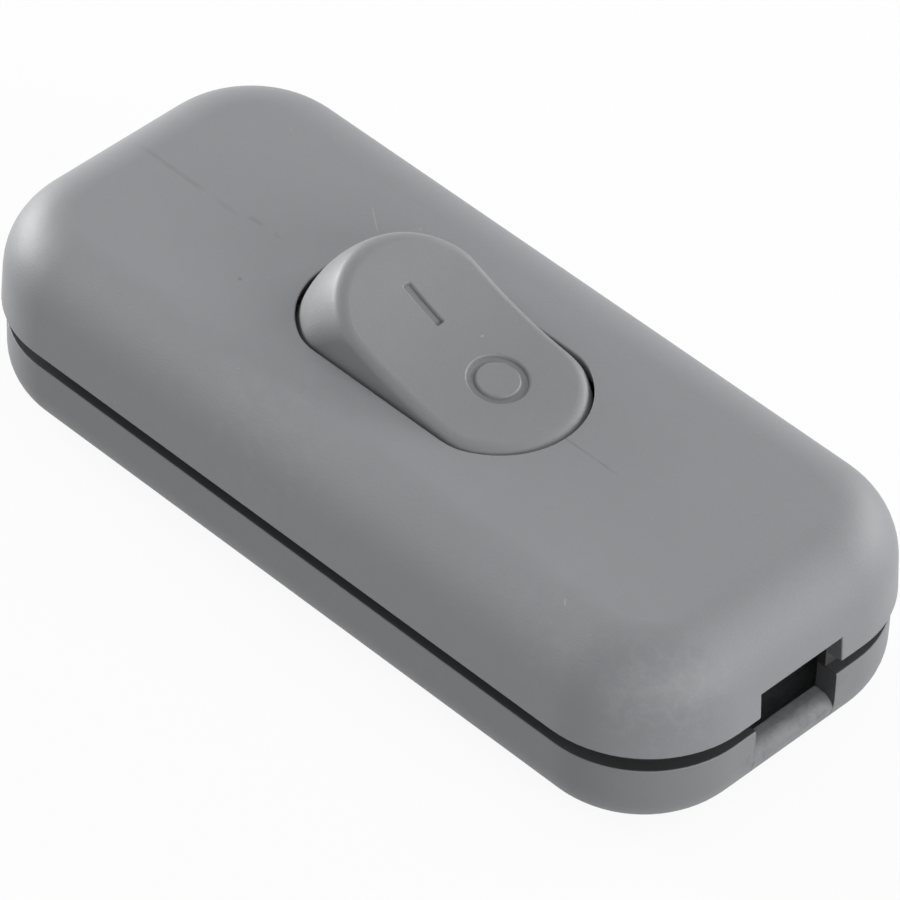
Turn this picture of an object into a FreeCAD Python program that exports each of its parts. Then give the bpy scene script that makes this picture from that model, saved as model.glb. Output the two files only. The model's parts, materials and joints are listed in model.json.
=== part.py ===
import FreeCAD, Part
import math
import os
import Sketcher
from FreeCAD import Vector

# Inline cord switch: a two-part housing with a tilting rocker, a seesaw contact,
# screw terminals and a cord clamp at each end.
# X runs along the cord, Z points up, the origin is the middle of the flat base.
# Lengths are millimetres and angles are degrees.

# Driving sizes: name, value, meaning
SIZES = (
    ("body_length", 70.0, "housing along the cord"),
    ("body_width", 30.5, "housing across the cord"),
    ("body_height", 16.05, "base to the flat top"),
    ("corner_radius", 9.1, "upright corners seen from above"),
    ("side_wall", 1.3, "wall of the upper shell"),
    ("wall_draft", 3.0, "lean of the upper shell's walls"),
    ("top_edge_radius", 5.3, "soft edge round the top"),
    ("lower_height", 6.6, "base to the rim of the lower shell"),
    ("lower_inset", 0.35, "lower shell stands back from the upper one"),
    ("bottom_edge_radius", 4.1, "soft edge round the base"),
    ("floor_thickness", 2.0, "floor of the lower shell"),
    ("groove_height", 1.5, "open groove between the shells"),
    ("lip_thickness", 0.7, "locating lip of the lower shell"),
    ("lip_height", 3.0, "lip above the rim"),
    ("lip_clearance", 0.15, "lip to the upper shell's wall"),
    ("outlet_width", 8.0, "cord outlet across"),
    ("outlet_top", 10.3, "base to the top of the outlet"),
    ("outlet_floor", 4.3, "base to the bottom of the outlet"),
    ("outlet_lip_radius", 1.3, "rounded sill that the cord bends over"),
    ("pivot_depth", 4.79, "rocker axis below the flat top"),
    ("rocker_throw", 15.0, "rocker tilt to each side"),
    ("rocker_reach", 12.62, "rocker ends from the axis"),
    ("rocker_width", 12.5, "rocker across"),
    ("rocker_end_radius", 6.864, "roundness of the rocker's ends"),
    ("rocker_side_blend", 3.0, "side into end of the rocker"),
    ("rocker_gap", 0.3, "rocker to its opening"),
    ("rocker_middle_height", 5.66, "finger faces meet this far above the axis"),
    ("rocker_wing_angle", 11.4, "slope of each finger face"),
    ("rocker_dish_radius", 20.0, "hollow where the finger faces meet"),
    ("rocker_edge_radius", 0.6, "edge of the finger faces"),
    ("rocker_skirt", 0.5, "rocker below its axis"),
    ("rocker_wall", 1.92, "side walls of the hollow rocker"),
    ("rocker_end_wall", 3.84, "its end walls"),
    ("rocker_hollow_top", 4.0, "top of the hollows above the axis"),
    ("rocker_web", 3.6, "half of the solid middle of the rocker"),
    ("trunnion_radius", 1.5, "pins of the rocker"),
    ("trunnion_length", 1.35, "pins beyond the rocker's sides"),
    ("trunnion_clearance", 0.05, "pin to its hole, all round"),
    ("cheek_thickness", 1.45, "walls that carry the pins"),
    ("cheek_half_length", 3.2, "half length of those walls"),
    ("cheek_clearance", 1.2, "straight-through terminals to those walls"),
    ("plunger_radius", 1.3, "sprung pin under the rocker"),
    ("plunger_seat", 0.76, "its tip above the edge that the blade tips on"),
    ("plunger_stand", 2.55, "its tip below its boss"),
    ("bore_clearance", 0.05, "plunger to its bore, all round"),
    ("bore_top", 3.3, "end of the bore above the axis"),
    ("boss_wall", 1.05, "wall of the plunger boss"),
    ("spring_length", 3.55, "rocker spring"),
    ("spring_wire", 0.3, "wire of the rocker spring"),
    ("spring_turns", 5.0, "turns of the rocker spring"),
    ("fulcrum_height", 4.75, "base to the edge that the blade tips on"),
    ("contact_throw", 7.0, "blade tilt to each side"),
    ("blade_thickness", 0.6, "contact blade"),
    ("blade_reach", 8.0, "blade to each side of its axis"),
    ("blade_width", 5.0, "blade across"),
    ("blade_wing_angle", 6.0, "rise of each half of the blade"),
    ("lug_width", 1.2, "blade's lugs along the cord"),
    ("lug_clearance", 0.15, "lug above the bottom of its notch"),
    ("ear_thickness", 0.8, "ears that hold the lugs"),
    ("ear_gap", 0.3, "blade to the ears"),
    ("ear_half_length", 1.7, "half length of the ears"),
    ("ear_rise", 0.9, "ears above the tipping edge"),
    ("contact_reach", 6.8, "contact from the blade's axis"),
    ("contact_radius", 1.3, "contact rivets"),
    ("contact_height", 0.6, "moving contact below the blade"),
    ("contact_dome", 0.2, "dome of the contact rivets"),
    ("contact_gap", 0.08, "closed contacts stand this far apart"),
    ("strip_thickness", 0.8, "terminal strips"),
    ("strip_width", 5.0, "terminal strips across"),
    ("strip_margin", 0.3, "strip beyond the fixed contact"),
    ("terminal_length", 6.0, "screw terminal blocks"),
    ("terminal_width", 6.0, "screw terminal blocks across"),
    ("terminal_height", 5.0, "terminal blocks above the floor"),
    ("terminal_reach", 19.5, "outer face of the blocks from the middle"),
    ("conductor_bore", 1.4, "radius of the wire holes"),
    ("conductor_land", 0.4, "wire holes above the strips"),
    ("through_length", 16.0, "straight-through terminals"),
    ("through_width", 5.0, "straight-through terminals across"),
    ("through_setback", 5.85, "straight-through terminals in from the housing's sides"),
    ("through_screw_offset", 5.5, "their screws from the middle"),
    ("bay_wall", 0.8, "ribs that hold the metal parts"),
    ("bay_clearance", 0.15, "metal part to its ribs"),
    ("bay_leg", 4.0, "ribs along the straight-through terminals from each end"),
    ("bay_height", 3.6, "those ribs above the floor"),
    ("strip_rib_height", 1.6, "ribs above the floor beside the strips"),
    ("terminal_head_radius", 1.55, "terminal screw heads"),
    ("terminal_head_height", 1.2, "terminal screw heads"),
    ("terminal_shank_radius", 1.0, "terminal screws"),
    ("terminal_shank_length", 1.8, "terminal screws below the head"),
    ("thread_clearance", 0.05, "screw to the hole that it is cut into"),
    ("head_crown_share", 0.45, "rounded share of a screw head's height"),
    ("point_share", 0.4, "chamfer at a screw's tip as a share of its radius"),
    ("housing_screw_setback", 13.5, "housing screws in from the housing's ends"),
    ("housing_screw_y", 8.0, "housing screws across"),
    ("housing_head_radius", 2.1, "housing screw heads"),
    ("housing_head_height", 1.5, "housing screw heads"),
    ("housing_head_clearance", 0.25, "head to its counterbore"),
    ("housing_shank_radius", 1.1, "housing screws"),
    ("housing_screw_spare", 1.0, "housing screws short of the end of their holes"),
    ("housing_shank_clearance", 0.15, "shank to the lower shell"),
    ("counterbore_depth", 2.2, "counterbores in the base"),
    ("counterbore_wall", 0.95, "boss wall round a counterbore"),
    ("counterbore_roof", 1.6, "boss above a counterbore"),
    ("pilot_land", 1.25, "ceiling to the end of the screw holes in the upper shell"),
    ("boss_radius", 2.7, "screw bosses"),
    ("boss_split", 9.0, "base to the level where the bosses meet"),
    ("clamp_setback", 7.6, "cord clamps in from the housing's ends"),
    ("clamp_length", 4.8, "cord clamps along the cord"),
    ("clamp_half_width", 8.2, "half of the clamps across"),
    ("clamp_thickness", 1.4, "feet of the clamps"),
    ("clamp_arch_radius", 3.6, "inside of the clamp's arch"),
    ("clamp_arch_wall", 1.2, "arch of the clamps"),
    ("clamp_seat", 6.0, "base to the clamp's feet"),
    ("clamp_screw_offset", 6.45, "clamp screws from the middle"),
    ("clamp_head_radius", 1.45, "clamp screw heads"),
    ("clamp_head_height", 1.1, "clamp screw heads"),
    ("clamp_shank_radius", 1.0, "clamp screws"),
    ("clamp_shank_length", 4.4, "clamp screws below the head"),
    ("cradle_height", 4.1, "base to the rib that the cord lies on"),
    ("cradle_thickness", 1.2, "that rib along the cord"),
    ("overcut", 1.0, "cuts run this far past the faces that they open"),
)

# Places worked out from the sizes: name, formula
PLACES = (
    ("half_length", "sizes.body_length / 2"),
    ("half_width", "sizes.body_width / 2"),
    ("parting_height", "sizes.lower_height + sizes.groove_height"),
    ("ceiling_height", "sizes.body_height - sizes.side_wall"),
    ("lip_offset", "sizes.side_wall + sizes.lip_clearance"),
    ("cavity_offset", "lip_offset + sizes.lip_thickness"),
    ("outlet_half", "sizes.outlet_width / 2"),
    ("pivot_height", "sizes.body_height - sizes.pivot_depth"),
    ("rocker_half", "sizes.rocker_width / 2"),
    ("rocker_end_centre", "sizes.rocker_reach - sizes.rocker_end_radius"),
    ("blend_arm", "sizes.rocker_end_radius - sizes.rocker_side_blend"),
    ("blend_rise", "rocker_half - sizes.rocker_side_blend"),
    ("blend_run", "sqrt(blend_arm^2 - blend_rise^2)"),
    ("blend_centre", "rocker_end_centre + blend_run"),
    ("cheek_inner", "rocker_half + sizes.rocker_gap"),
    ("cheek_outer", "cheek_inner + sizes.cheek_thickness"),
    ("plunger_reach", "pivot_height - sizes.fulcrum_height - sizes.plunger_seat"),
    ("plunger_top", "sizes.bore_top - sizes.spring_length"),
    ("boss_drop", "plunger_reach - sizes.plunger_stand"),
    ("bore_radius", "sizes.plunger_radius + sizes.bore_clearance"),
    ("strip_top", "sizes.floor_thickness + sizes.strip_thickness"),
    ("ear_inner", "sizes.blade_width / 2 + sizes.ear_gap"),
    ("ear_outer", "ear_inner + sizes.ear_thickness"),
    ("notch_half", "sizes.lug_width / 2 + 2 * sizes.lug_clearance"),
    ("closed_slope", "sizes.blade_wing_angle - sizes.contact_throw"),
    ("closed_tip", "sizes.fulcrum_height + sizes.contact_reach * sin(closed_slope) - sizes.contact_height"),
    ("fixed_contact_height", "closed_tip - sizes.contact_gap - strip_top"),
    ("terminal_inner", "sizes.terminal_reach - sizes.terminal_length"),
    ("terminal_top", "sizes.floor_thickness + sizes.terminal_height"),
    ("cheek_drop", "pivot_height - terminal_top - sizes.cheek_clearance"),
    ("wire_height", "strip_top + sizes.conductor_bore + sizes.conductor_land"),
    ("through_offset", "half_width - sizes.through_setback"),
    ("through_inner", "through_offset - sizes.through_width / 2"),
    ("rib_inner", "sizes.strip_width / 2 + sizes.bay_clearance"),
    ("counterbore_radius", "sizes.housing_head_radius + sizes.housing_head_clearance"),
    ("pilot_depth", "ceiling_height - sizes.pilot_land - sizes.boss_split"),
    ("housing_screw_x", "half_length - sizes.housing_screw_setback"),
    ("housing_screw_reach", "sizes.boss_split + pilot_depth - sizes.housing_screw_spare"),
    ("housing_shank_length", "housing_screw_reach - sizes.counterbore_depth"),
    ("clamp_position", "half_length - sizes.clamp_setback"),
    ("foot_inner", "sizes.clamp_arch_radius + sizes.bay_clearance"),
)


# Differences under NEAR count as none; a face looks up when LOOKS_UP of its direction does
NEAR = 0.01
LOOKS_UP = 0.9

document = FreeCAD.newDocument("inline_cord_switch")
sizes = document.addObject("Spreadsheet::Sheet", "sizes")
for row, (name, number, meaning) in enumerate(SIZES, 1):
    sizes.set("A%d" % row, name)
    sizes.set("B%d" % row, str(number))
    sizes.set("C%d" % row, meaning)
    sizes.setAlias("B%d" % row, name)
document.recompute()
places = document.addObject("Spreadsheet::Sheet", "places")
for row, (name, formula) in enumerate(PLACES, 1):
    places.set("A%d" % row, name)
    places.set("B%d" % row, "=" + formula)
    places.setAlias("B%d" % row, name)
    document.recompute()

parts = []


def value(expression):
    """Number that an expression on the two sheets gives now."""
    return float(places.evalExpression(expression))


def new_body(label):
    """Empty body for one sub-part."""
    body = document.addObject("PartDesign::Body", label)
    body.Label = label
    parts.append(body)
    return body


def new_sketch(body, name, plane="XY_Plane", lift="0", along="0"):
    """Sketch on one of the body's origin planes, lifted off it and shifted along it."""
    sketch = body.newObject("Sketcher::SketchObject", name)
    datum = next(item for item in body.Origin.OriginFeatures if item.Role == plane)
    sketch.AttachmentSupport = [(datum, "")]
    sketch.MapMode = "FlatFace"
    sketch.setExpression("AttachmentOffset.Base.z", lift)
    sketch.setExpression("AttachmentOffset.Base.x", along)
    return sketch


def drive(sketch, constraint, expression):
    """Adds a dimension whose value follows an expression."""
    number = sketch.addConstraint(constraint)
    sketch.setExpression("Constraints[%d]" % number, expression)


def pin(sketch, curve, end, x, y):
    """Holds one end or centre of a curve at a place given by two expressions."""
    drive(sketch, Sketcher.Constraint("DistanceX", -1, 1, curve, end, value(x)), x)
    drive(sketch, Sketcher.Constraint("DistanceY", -1, 1, curve, end, value(y)), y)


def arc_between(start, end, radius):
    """Shorter arc from start to end; a positive radius turns it counter-clockwise."""
    chord = end - start
    across = Vector(-chord.y, chord.x, 0).normalize()
    depth = math.sqrt(max(radius * radius - chord.Length * chord.Length / 4, 0))
    centre = (start + end) / 2 + across * math.copysign(depth, radius)
    first, last = (start, end) if radius > 0 else (end, start)
    angles = [math.atan2(point.y - centre.y, point.x - centre.x) for point in (first, last)]
    circle = Part.Circle(centre, Vector(0, 0, 1), abs(radius))
    return Part.ArcOfCircle(circle, angles[0], angles[1])


def outline(sketch, steps):
    """Closed outline.  A step is x, y and, for an arc to the next step, its radius."""
    first = sketch.GeometryCount
    count = len(steps)
    corners = [Vector(value(step[0]), value(step[1]), 0) for step in steps]
    ends = []
    for number, step in enumerate(steps):
        start, end = corners[number], corners[(number + 1) % count]
        if len(step) == 2:
            sketch.addGeometry(Part.LineSegment(start, end))
            ends.append((1, 2))
            continue
        radius = value(step[2])
        curve = sketch.addGeometry(arc_between(start, end, radius))
        drive(sketch, Sketcher.Constraint("Radius", curve, abs(radius)), "abs(%s)" % step[2])
        ends.append((1, 2) if radius > 0 else (2, 1))
    for number, step in enumerate(steps):
        following = (number + 1) % count
        joint = (first + number, ends[number][1], first + following, ends[following][0])
        sketch.addConstraint(Sketcher.Constraint("Coincident", *joint))
        pin(sketch, first + number, ends[number][0], step[0], step[1])


def rectangle(sketch, left, right, bottom, top):
    """Rectangle between four expressions."""
    outline(sketch, ((left, bottom), (right, bottom), (right, top), (left, top)))


def circle(sketch, x, y, radius):
    """Circle with its centre and radius given by expressions."""
    ring = Part.Circle(Vector(value(x), value(y), 0), Vector(0, 0, 1), value(radius))
    curve = sketch.addGeometry(ring)
    pin(sketch, curve, 3, x, y)
    drive(sketch, Sketcher.Constraint("Radius", curve, value(radius)), radius)


def housing_outline(sketch, offset):
    """The housing seen from above, drawn inwards by an offset."""
    long_side = "places.half_length - (%s)" % offset
    short_side = "places.half_width - (%s)" % offset
    radius = "sizes.corner_radius - (%s)" % offset
    straight_x = "(%s) - (%s)" % (long_side, radius)
    straight_y = "(%s) - (%s)" % (short_side, radius)
    steps = (
        ("-(%s)" % straight_x, "-(%s)" % short_side),
        (straight_x, "-(%s)" % short_side, radius),
        (long_side, "-(%s)" % straight_y),
        (long_side, straight_y, radius),
        (straight_x, short_side),
        ("-(%s)" % straight_x, short_side, radius),
        ("-(%s)" % long_side, straight_y),
        ("-(%s)" % long_side, "-(%s)" % straight_y, radius),
    )
    outline(sketch, steps)


def rocker_outline(sketch, gap):
    """Half section of the rocker through its axis, drawn outwards by a gap."""
    side = "places.rocker_half + (%s)" % gap
    radius = "sizes.rocker_end_radius + (%s)" % gap
    blend = "sizes.rocker_side_blend + (%s)" % gap
    turn_x = "places.rocker_end_centre + (%s) * places.blend_run / places.blend_arm" % radius
    turn_y = "(%s) * places.blend_rise / places.blend_arm" % radius
    steps = (
        ("0", "-(%s)" % side),
        ("places.blend_centre", "-(%s)" % side, blend),
        (turn_x, "-(%s)" % turn_y, radius),
        (turn_x, turn_y, blend),
        ("places.blend_centre", side),
        ("0", side),
    )
    outline(sketch, steps)


def finish(body, feature):
    """Computes a new feature."""
    document.recompute()
    if not feature.isValid():
        raise RuntimeError("%s: %s failed" % (body.Label, feature.Label))
    return feature


def pad(body, sketch, length, symmetric=False, draft=None):
    """Raises a sketch, or grows it to both sides of its plane."""
    feature = body.newObject("PartDesign::Pad", sketch.Name + "_pad")
    feature.Profile = sketch
    feature.SideType = "Symmetric" if symmetric else "One side"
    feature.setExpression("Length", length)
    if draft:
        feature.setExpression("TaperAngle", draft)
    return finish(body, feature)


def pocket(body, sketch, length=None, symmetric=False, upward=False, draft=None):
    """Cuts a sketch down, up or to both sides, all the way through if no length is given."""
    before = body.Tip.Shape.Volume
    feature = body.newObject("PartDesign::Pocket", sketch.Name + "_cut")
    feature.Profile = sketch
    feature.SideType = "Symmetric" if symmetric else "One side"
    feature.Reversed = upward
    if length:
        feature.setExpression("Length", length)
    else:
        feature.Type = "ThroughAll"
    if draft:
        feature.setExpression("TaperAngle", draft)
    finish(body, feature)
    if feature.Shape.Volume > before - NEAR:
        raise RuntimeError("%s: %s cuts nothing" % (body.Label, feature.Label))
    return feature


def revolve(body, sketch, kind="Revolution"):
    """Turns a sketch a full circle about its own upright axis, as a solid or as a cut."""
    feature = body.newObject("PartDesign::" + kind, sketch.Name + "_turned")
    feature.Profile = sketch
    feature.ReferenceAxis = (sketch, ["V_Axis"])
    feature.Angle = 360
    return finish(body, feature)


def fillet(body, radius, name, test):
    """Rounds every edge of the body that passes a test."""
    base = body.Tip
    names = ["Edge%d" % number for number, edge in enumerate(base.Shape.Edges, 1) if test(edge)]
    feature = body.newObject("PartDesign::Fillet", name)
    feature.Base = (base, names)
    feature.setExpression("Radius", radius)
    return finish(body, feature)


def mirror(body, features, plane, name):
    """Repeats features on the other side of one of the body's origin planes."""
    feature = body.newObject("PartDesign::Mirrored", name)
    feature.Originals = features
    datum = next(item for item in body.Origin.OriginFeatures if item.Role == plane)
    feature.MirrorPlane = (datum, [""])
    body.Tip = feature
    return finish(body, feature)


def half_turn(body, features, name):
    """Repeats features half a turn round the upright axis."""
    feature = body.newObject("PartDesign::PolarPattern", name)
    feature.Originals = features
    axis = next(item for item in body.Origin.OriginFeatures if item.Role == "Z_Axis")
    feature.Axis = (axis, [""])
    feature.Angle = 360
    feature.Occurrences = 2
    body.Tip = feature
    return finish(body, feature)


def level_edge(height):
    """Test for edges that lie wholly at one height."""
    def test(edge):
        box = edge.BoundBox
        return abs(box.ZMin - height) < NEAR and abs(box.ZMax - height) < NEAR
    return test


def boss_pair(sketch, radius):
    """Two circles at the housing screws, one near each end on opposite sides."""
    circle(sketch, "places.housing_screw_x", "-sizes.housing_screw_y", radius)
    circle(sketch, "-places.housing_screw_x", "sizes.housing_screw_y", radius)


# Upper shell
def upper_shell():
    body = new_body("upper_shell")
    base = new_sketch(body, "upper_outline", lift="places.parting_height")
    housing_outline(base, "0")
    pad(body, base, "sizes.body_height - places.parting_height", draft="-sizes.wall_draft")

    cavity = new_sketch(body, "upper_cavity", lift="places.parting_height")
    housing_outline(cavity, "sizes.side_wall")
    depth = "places.ceiling_height - places.parting_height"
    pocket(body, cavity, depth, upward=True, draft="-sizes.wall_draft")
    inner_radius = "sizes.top_edge_radius - sizes.side_wall"
    fillet(body, inner_radius, "upper_inner_edge", level_edge(value("places.ceiling_height")))
    fillet(body, "sizes.top_edge_radius", "upper_top_edge", level_edge(value("sizes.body_height")))

    outlet = new_sketch(body, "upper_outlet", plane="YZ_Plane")
    rectangle(outlet, "-places.outlet_half", "places.outlet_half",
              "sizes.lower_height", "sizes.outlet_top")
    pocket(body, outlet, symmetric=True)

    opening = new_sketch(body, "rocker_opening", lift="places.pivot_height")
    rocker_outline(opening, "sizes.rocker_gap")
    revolve(body, opening, "Groove")

    # Walls that hang beside the rocker and carry its pins
    cheek = new_sketch(body, "cheek", lift="places.pivot_height - places.cheek_drop")
    rectangle(cheek, "-sizes.cheek_half_length", "sizes.cheek_half_length",
              "places.cheek_inner", "places.cheek_outer")
    cheek_root = "places.ceiling_height + sizes.side_wall / 2"
    cheek_pad = pad(body, cheek, "%s - places.pivot_height + places.cheek_drop" % cheek_root)
    mirror(body, [cheek_pad], "XZ_Plane", "second_cheek")
    pin_holes = new_sketch(body, "pin_holes", plane="XZ_Plane")
    circle(pin_holes, "0", "places.pivot_height", "sizes.trunnion_radius + sizes.trunnion_clearance")
    pocket(body, pin_holes, "2 * places.cheek_outer + sizes.cheek_thickness", symmetric=True)

    # Bosses that the housing screws bite into
    bosses = new_sketch(body, "upper_bosses", lift="sizes.boss_split")
    boss_pair(bosses, "sizes.boss_radius")
    pad(body, bosses, "places.ceiling_height - sizes.boss_split + sizes.side_wall / 2")
    pilots = new_sketch(body, "upper_pilots", lift="sizes.boss_split")
    boss_pair(pilots, "sizes.housing_shank_radius + sizes.thread_clearance")
    pocket(body, pilots, "places.pilot_depth", upward=True)
    return body


# Lower shell
def lower_shell():
    body = new_body("lower_shell")
    base = new_sketch(body, "lower_outline")
    housing_outline(base, "sizes.lower_inset")
    pad(body, base, "sizes.lower_height")
    fillet(body, "sizes.bottom_edge_radius", "bottom_edge", level_edge(0))
    lip = new_sketch(body, "lip", lift="sizes.lower_height - sizes.lip_thickness")
    housing_outline(lip, "places.lip_offset")
    pad(body, lip, "sizes.lip_height + sizes.lip_thickness")
    cavity = new_sketch(body, "lower_cavity", lift="sizes.floor_thickness")
    housing_outline(cavity, "places.cavity_offset")
    pocket(body, cavity, "sizes.body_height", upward=True)

    # Cord outlet with a sill that rounds down to the outside, at both ends
    outlet = new_sketch(body, "lower_outlet", plane="XZ_Plane")
    face = "places.half_length - sizes.lower_inset"
    beyond = "places.half_length + sizes.lip_thickness"
    inside = "places.half_length - places.cavity_offset - sizes.lip_thickness"
    steps = (
        (inside, "sizes.outlet_floor"),
        ("%s - sizes.outlet_lip_radius" % face, "sizes.outlet_floor", "-sizes.outlet_lip_radius"),
        (face, "sizes.outlet_floor - sizes.outlet_lip_radius"),
        (beyond, "sizes.outlet_floor - sizes.outlet_lip_radius"),
        (beyond, "sizes.body_height"),
        (inside, "sizes.body_height"),
    )
    outline(outlet, steps)
    outlet_cut = pocket(body, outlet, "sizes.outlet_width", symmetric=True)
    mirror(body, [outlet_cut], "YZ_Plane", "second_outlet")

    # Feet under the cord clamps, with a low rib between them for the cord to lie on
    feet = new_sketch(body, "clamp_feet", lift="sizes.floor_thickness / 2")
    near = "places.clamp_position - sizes.clamp_length / 2"
    far = "places.clamp_position + sizes.clamp_length / 2"
    for front, back in ((near, far), ("-(%s)" % far, "-(%s)" % near)):
        rectangle(feet, front, back, "places.foot_inner", "sizes.clamp_half_width")
        rectangle(feet, front, back, "-sizes.clamp_half_width", "-places.foot_inner")
    pad(body, feet, "sizes.clamp_seat - sizes.floor_thickness / 2")
    cradle = new_sketch(body, "cradle", lift="sizes.floor_thickness / 2")
    for side in ("", "-"):
        middle = side + "places.clamp_position"
        rectangle(cradle, "%s - sizes.cradle_thickness / 2" % middle,
                  "%s + sizes.cradle_thickness / 2" % middle,
                  "-places.foot_inner - sizes.bay_wall", "places.foot_inner + sizes.bay_wall")
    pad(body, cradle, "sizes.cradle_height - sizes.floor_thickness / 2")
    clamp_pilots = new_sketch(body, "clamp_pilots", lift="sizes.clamp_seat")
    for x in ("places.clamp_position", "-places.clamp_position"):
        for y in ("sizes.clamp_screw_offset", "-sizes.clamp_screw_offset"):
            circle(clamp_pilots, x, y, "sizes.clamp_shank_radius + sizes.thread_clearance")
    pocket(body, clamp_pilots, "sizes.clamp_seat - sizes.floor_thickness")

    # Ribs beside the terminal strips
    strip_ribs = new_sketch(body, "strip_ribs", lift="sizes.floor_thickness / 2")
    rib_start = "sizes.blade_reach / 2"
    rib_end = "places.terminal_inner - sizes.bay_wall"
    for front, back in ((rib_start, rib_end), ("-(%s)" % rib_end, "-(%s)" % rib_start)):
        rectangle(strip_ribs, front, back, "places.rib_inner", "places.rib_inner + sizes.bay_wall")
        rectangle(strip_ribs, front, back, "-places.rib_inner - sizes.bay_wall", "-places.rib_inner")
    pad(body, strip_ribs, "sizes.strip_rib_height + sizes.floor_thickness / 2")

    # Corner ribs round the ends of the two straight-through terminals
    bays = new_sketch(body, "bays", lift="sizes.floor_thickness / 2")
    bay_inner = "places.through_inner - sizes.bay_clearance"
    bay_back = "places.through_inner - sizes.bay_clearance - sizes.bay_wall"
    bay_end = "sizes.through_length / 2 + sizes.bay_clearance"
    bay_open = "sizes.through_length / 2 - sizes.bay_leg"
    wall_face = "places.half_width - places.cavity_offset + sizes.lip_thickness / 2"
    corners = (
        (bay_open, bay_back),
        ("%s + sizes.bay_wall" % bay_end, bay_back),
        ("%s + sizes.bay_wall" % bay_end, wall_face),
        (bay_end, wall_face),
        (bay_end, bay_inner),
        (bay_open, bay_inner),
    )
    for end, side in (("", ""), ("", "-"), ("-", ""), ("-", "-")):
        outline(bays, [("%s(%s)" % (end, x), "%s(%s)" % (side, y)) for x, y in corners])
    pad(body, bays, "sizes.bay_height + sizes.floor_thickness / 2")

    # Screw bosses, wider round the counterbores
    wide = new_sketch(body, "boss_feet", lift="sizes.floor_thickness / 2")
    boss_pair(wide, "places.counterbore_radius + sizes.counterbore_wall")
    pad(body, wide, "sizes.counterbore_depth + sizes.counterbore_roof - sizes.floor_thickness / 2")
    slim = new_sketch(body, "lower_bosses", lift="sizes.counterbore_depth")
    boss_pair(slim, "sizes.boss_radius")
    pad(body, slim, "sizes.boss_split - sizes.counterbore_depth")
    holes = new_sketch(body, "shank_holes", lift="sizes.boss_split")
    boss_pair(holes, "sizes.housing_shank_radius + sizes.housing_shank_clearance")
    pocket(body, holes, "sizes.boss_split")
    counterbores = new_sketch(body, "counterbores")
    boss_pair(counterbores, "places.counterbore_radius")
    pocket(body, counterbores, "sizes.counterbore_depth", upward=True)
    return body


# Rocker with its pins and the boss of its plunger, drawn about its own axis
def on_rocker(body):
    """Puts a body that is drawn about the rocker's axis in its tilted place."""
    body.Placement = FreeCAD.Placement(Vector(), FreeCAD.Rotation(Vector(0, 1, 0), 1))
    body.setExpression(".Placement.Base.z", "places.pivot_height")
    body.setExpression(".Placement.Rotation.Angle", "sizes.rocker_throw")
    return body


def rocker():
    body = new_body("rocker")
    section = new_sketch(body, "rocker_section")
    rocker_outline(section, "0")
    revolve(body, section)
    beyond = "sizes.rocker_reach + sizes.overcut"
    wing_tip = "sizes.rocker_middle_height + (%s) * tan(sizes.rocker_wing_angle)" % beyond
    faces = new_sketch(body, "finger_faces", plane="XZ_Plane")
    steps = (
        ("-(%s)" % beyond, wing_tip),
        ("0", "sizes.rocker_middle_height"),
        (beyond, wing_tip),
        (beyond, beyond),
        ("-(%s)" % beyond, beyond),
    )
    outline(faces, steps)
    pocket(body, faces, "2 * sizes.rocker_width", symmetric=True)
    underside = new_sketch(body, "rocker_underside", plane="XZ_Plane")
    rectangle(underside, "-(%s)" % beyond, beyond, "-(%s)" % beyond, "-sizes.rocker_skirt")
    pocket(body, underside, "2 * sizes.rocker_width", symmetric=True)
    middle = value("sizes.rocker_middle_height")
    fillet(body, "sizes.rocker_dish_radius", "rocker_dish",
           lambda edge: edge.BoundBox.XLength < NEAR and abs(edge.BoundBox.Center.z - middle) < NEAR)
    finger_edges = boundary(body.Tip.Shape, faces_up)
    fillet(body, "sizes.rocker_edge_radius", "finger_face_edge",
           lambda edge: any(edge.isSame(other) for other in finger_edges))

    hollows = new_sketch(body, "rocker_hollows", lift="-sizes.rocker_skirt")
    outer = "sizes.rocker_reach - sizes.rocker_end_wall"
    side = "places.rocker_half - sizes.rocker_wall"
    rectangle(hollows, "sizes.rocker_web", outer, "-(%s)" % side, side)
    rectangle(hollows, "-(%s)" % outer, "-sizes.rocker_web", "-(%s)" % side, side)
    pocket(body, hollows, "sizes.rocker_hollow_top + sizes.rocker_skirt", upward=True)

    pins = new_sketch(body, "pins", plane="XZ_Plane")
    circle(pins, "0", "0", "sizes.trunnion_radius")
    pad(body, pins, "sizes.rocker_width + 2 * sizes.trunnion_length", symmetric=True)
    boss = new_sketch(body, "plunger_boss", lift="-places.boss_drop")
    circle(boss, "0", "0", "places.bore_radius + sizes.boss_wall")
    pad(body, boss, "places.boss_drop + sizes.trunnion_radius")
    bore = new_sketch(body, "plunger_bore", lift="-places.plunger_reach")
    circle(bore, "0", "0", "places.bore_radius")
    pocket(body, bore, "places.plunger_reach + sizes.bore_top", upward=True)
    return on_rocker(body)


def faces_up(face):
    """True for a face above the hollows whose middle looks upwards."""
    low, high, left, right = face.ParameterRange
    normal = face.normalAt((low + high) / 2, (left + right) / 2)
    return normal.z > LOOKS_UP and face.BoundBox.ZMin > value("sizes.rocker_hollow_top")


def boundary(shape, test):
    """Edges round the patch of faces that pass a test."""
    chosen = [edge for face in shape.Faces if test(face) for edge in face.Edges]
    return [edge for edge in chosen if sum(edge.isSame(other) for other in chosen) == 1]


def rocker_plunger():
    body = new_body("rocker_plunger")
    section = new_sketch(body, "plunger_section", plane="XZ_Plane")
    steps = (
        ("0", "-places.plunger_reach", "sizes.plunger_radius"),
        ("sizes.plunger_radius", "sizes.plunger_radius - places.plunger_reach"),
        ("sizes.plunger_radius", "places.plunger_top"),
        ("0", "places.plunger_top"),
    )
    outline(section, steps)
    revolve(body, section)
    return on_rocker(body)


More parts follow.
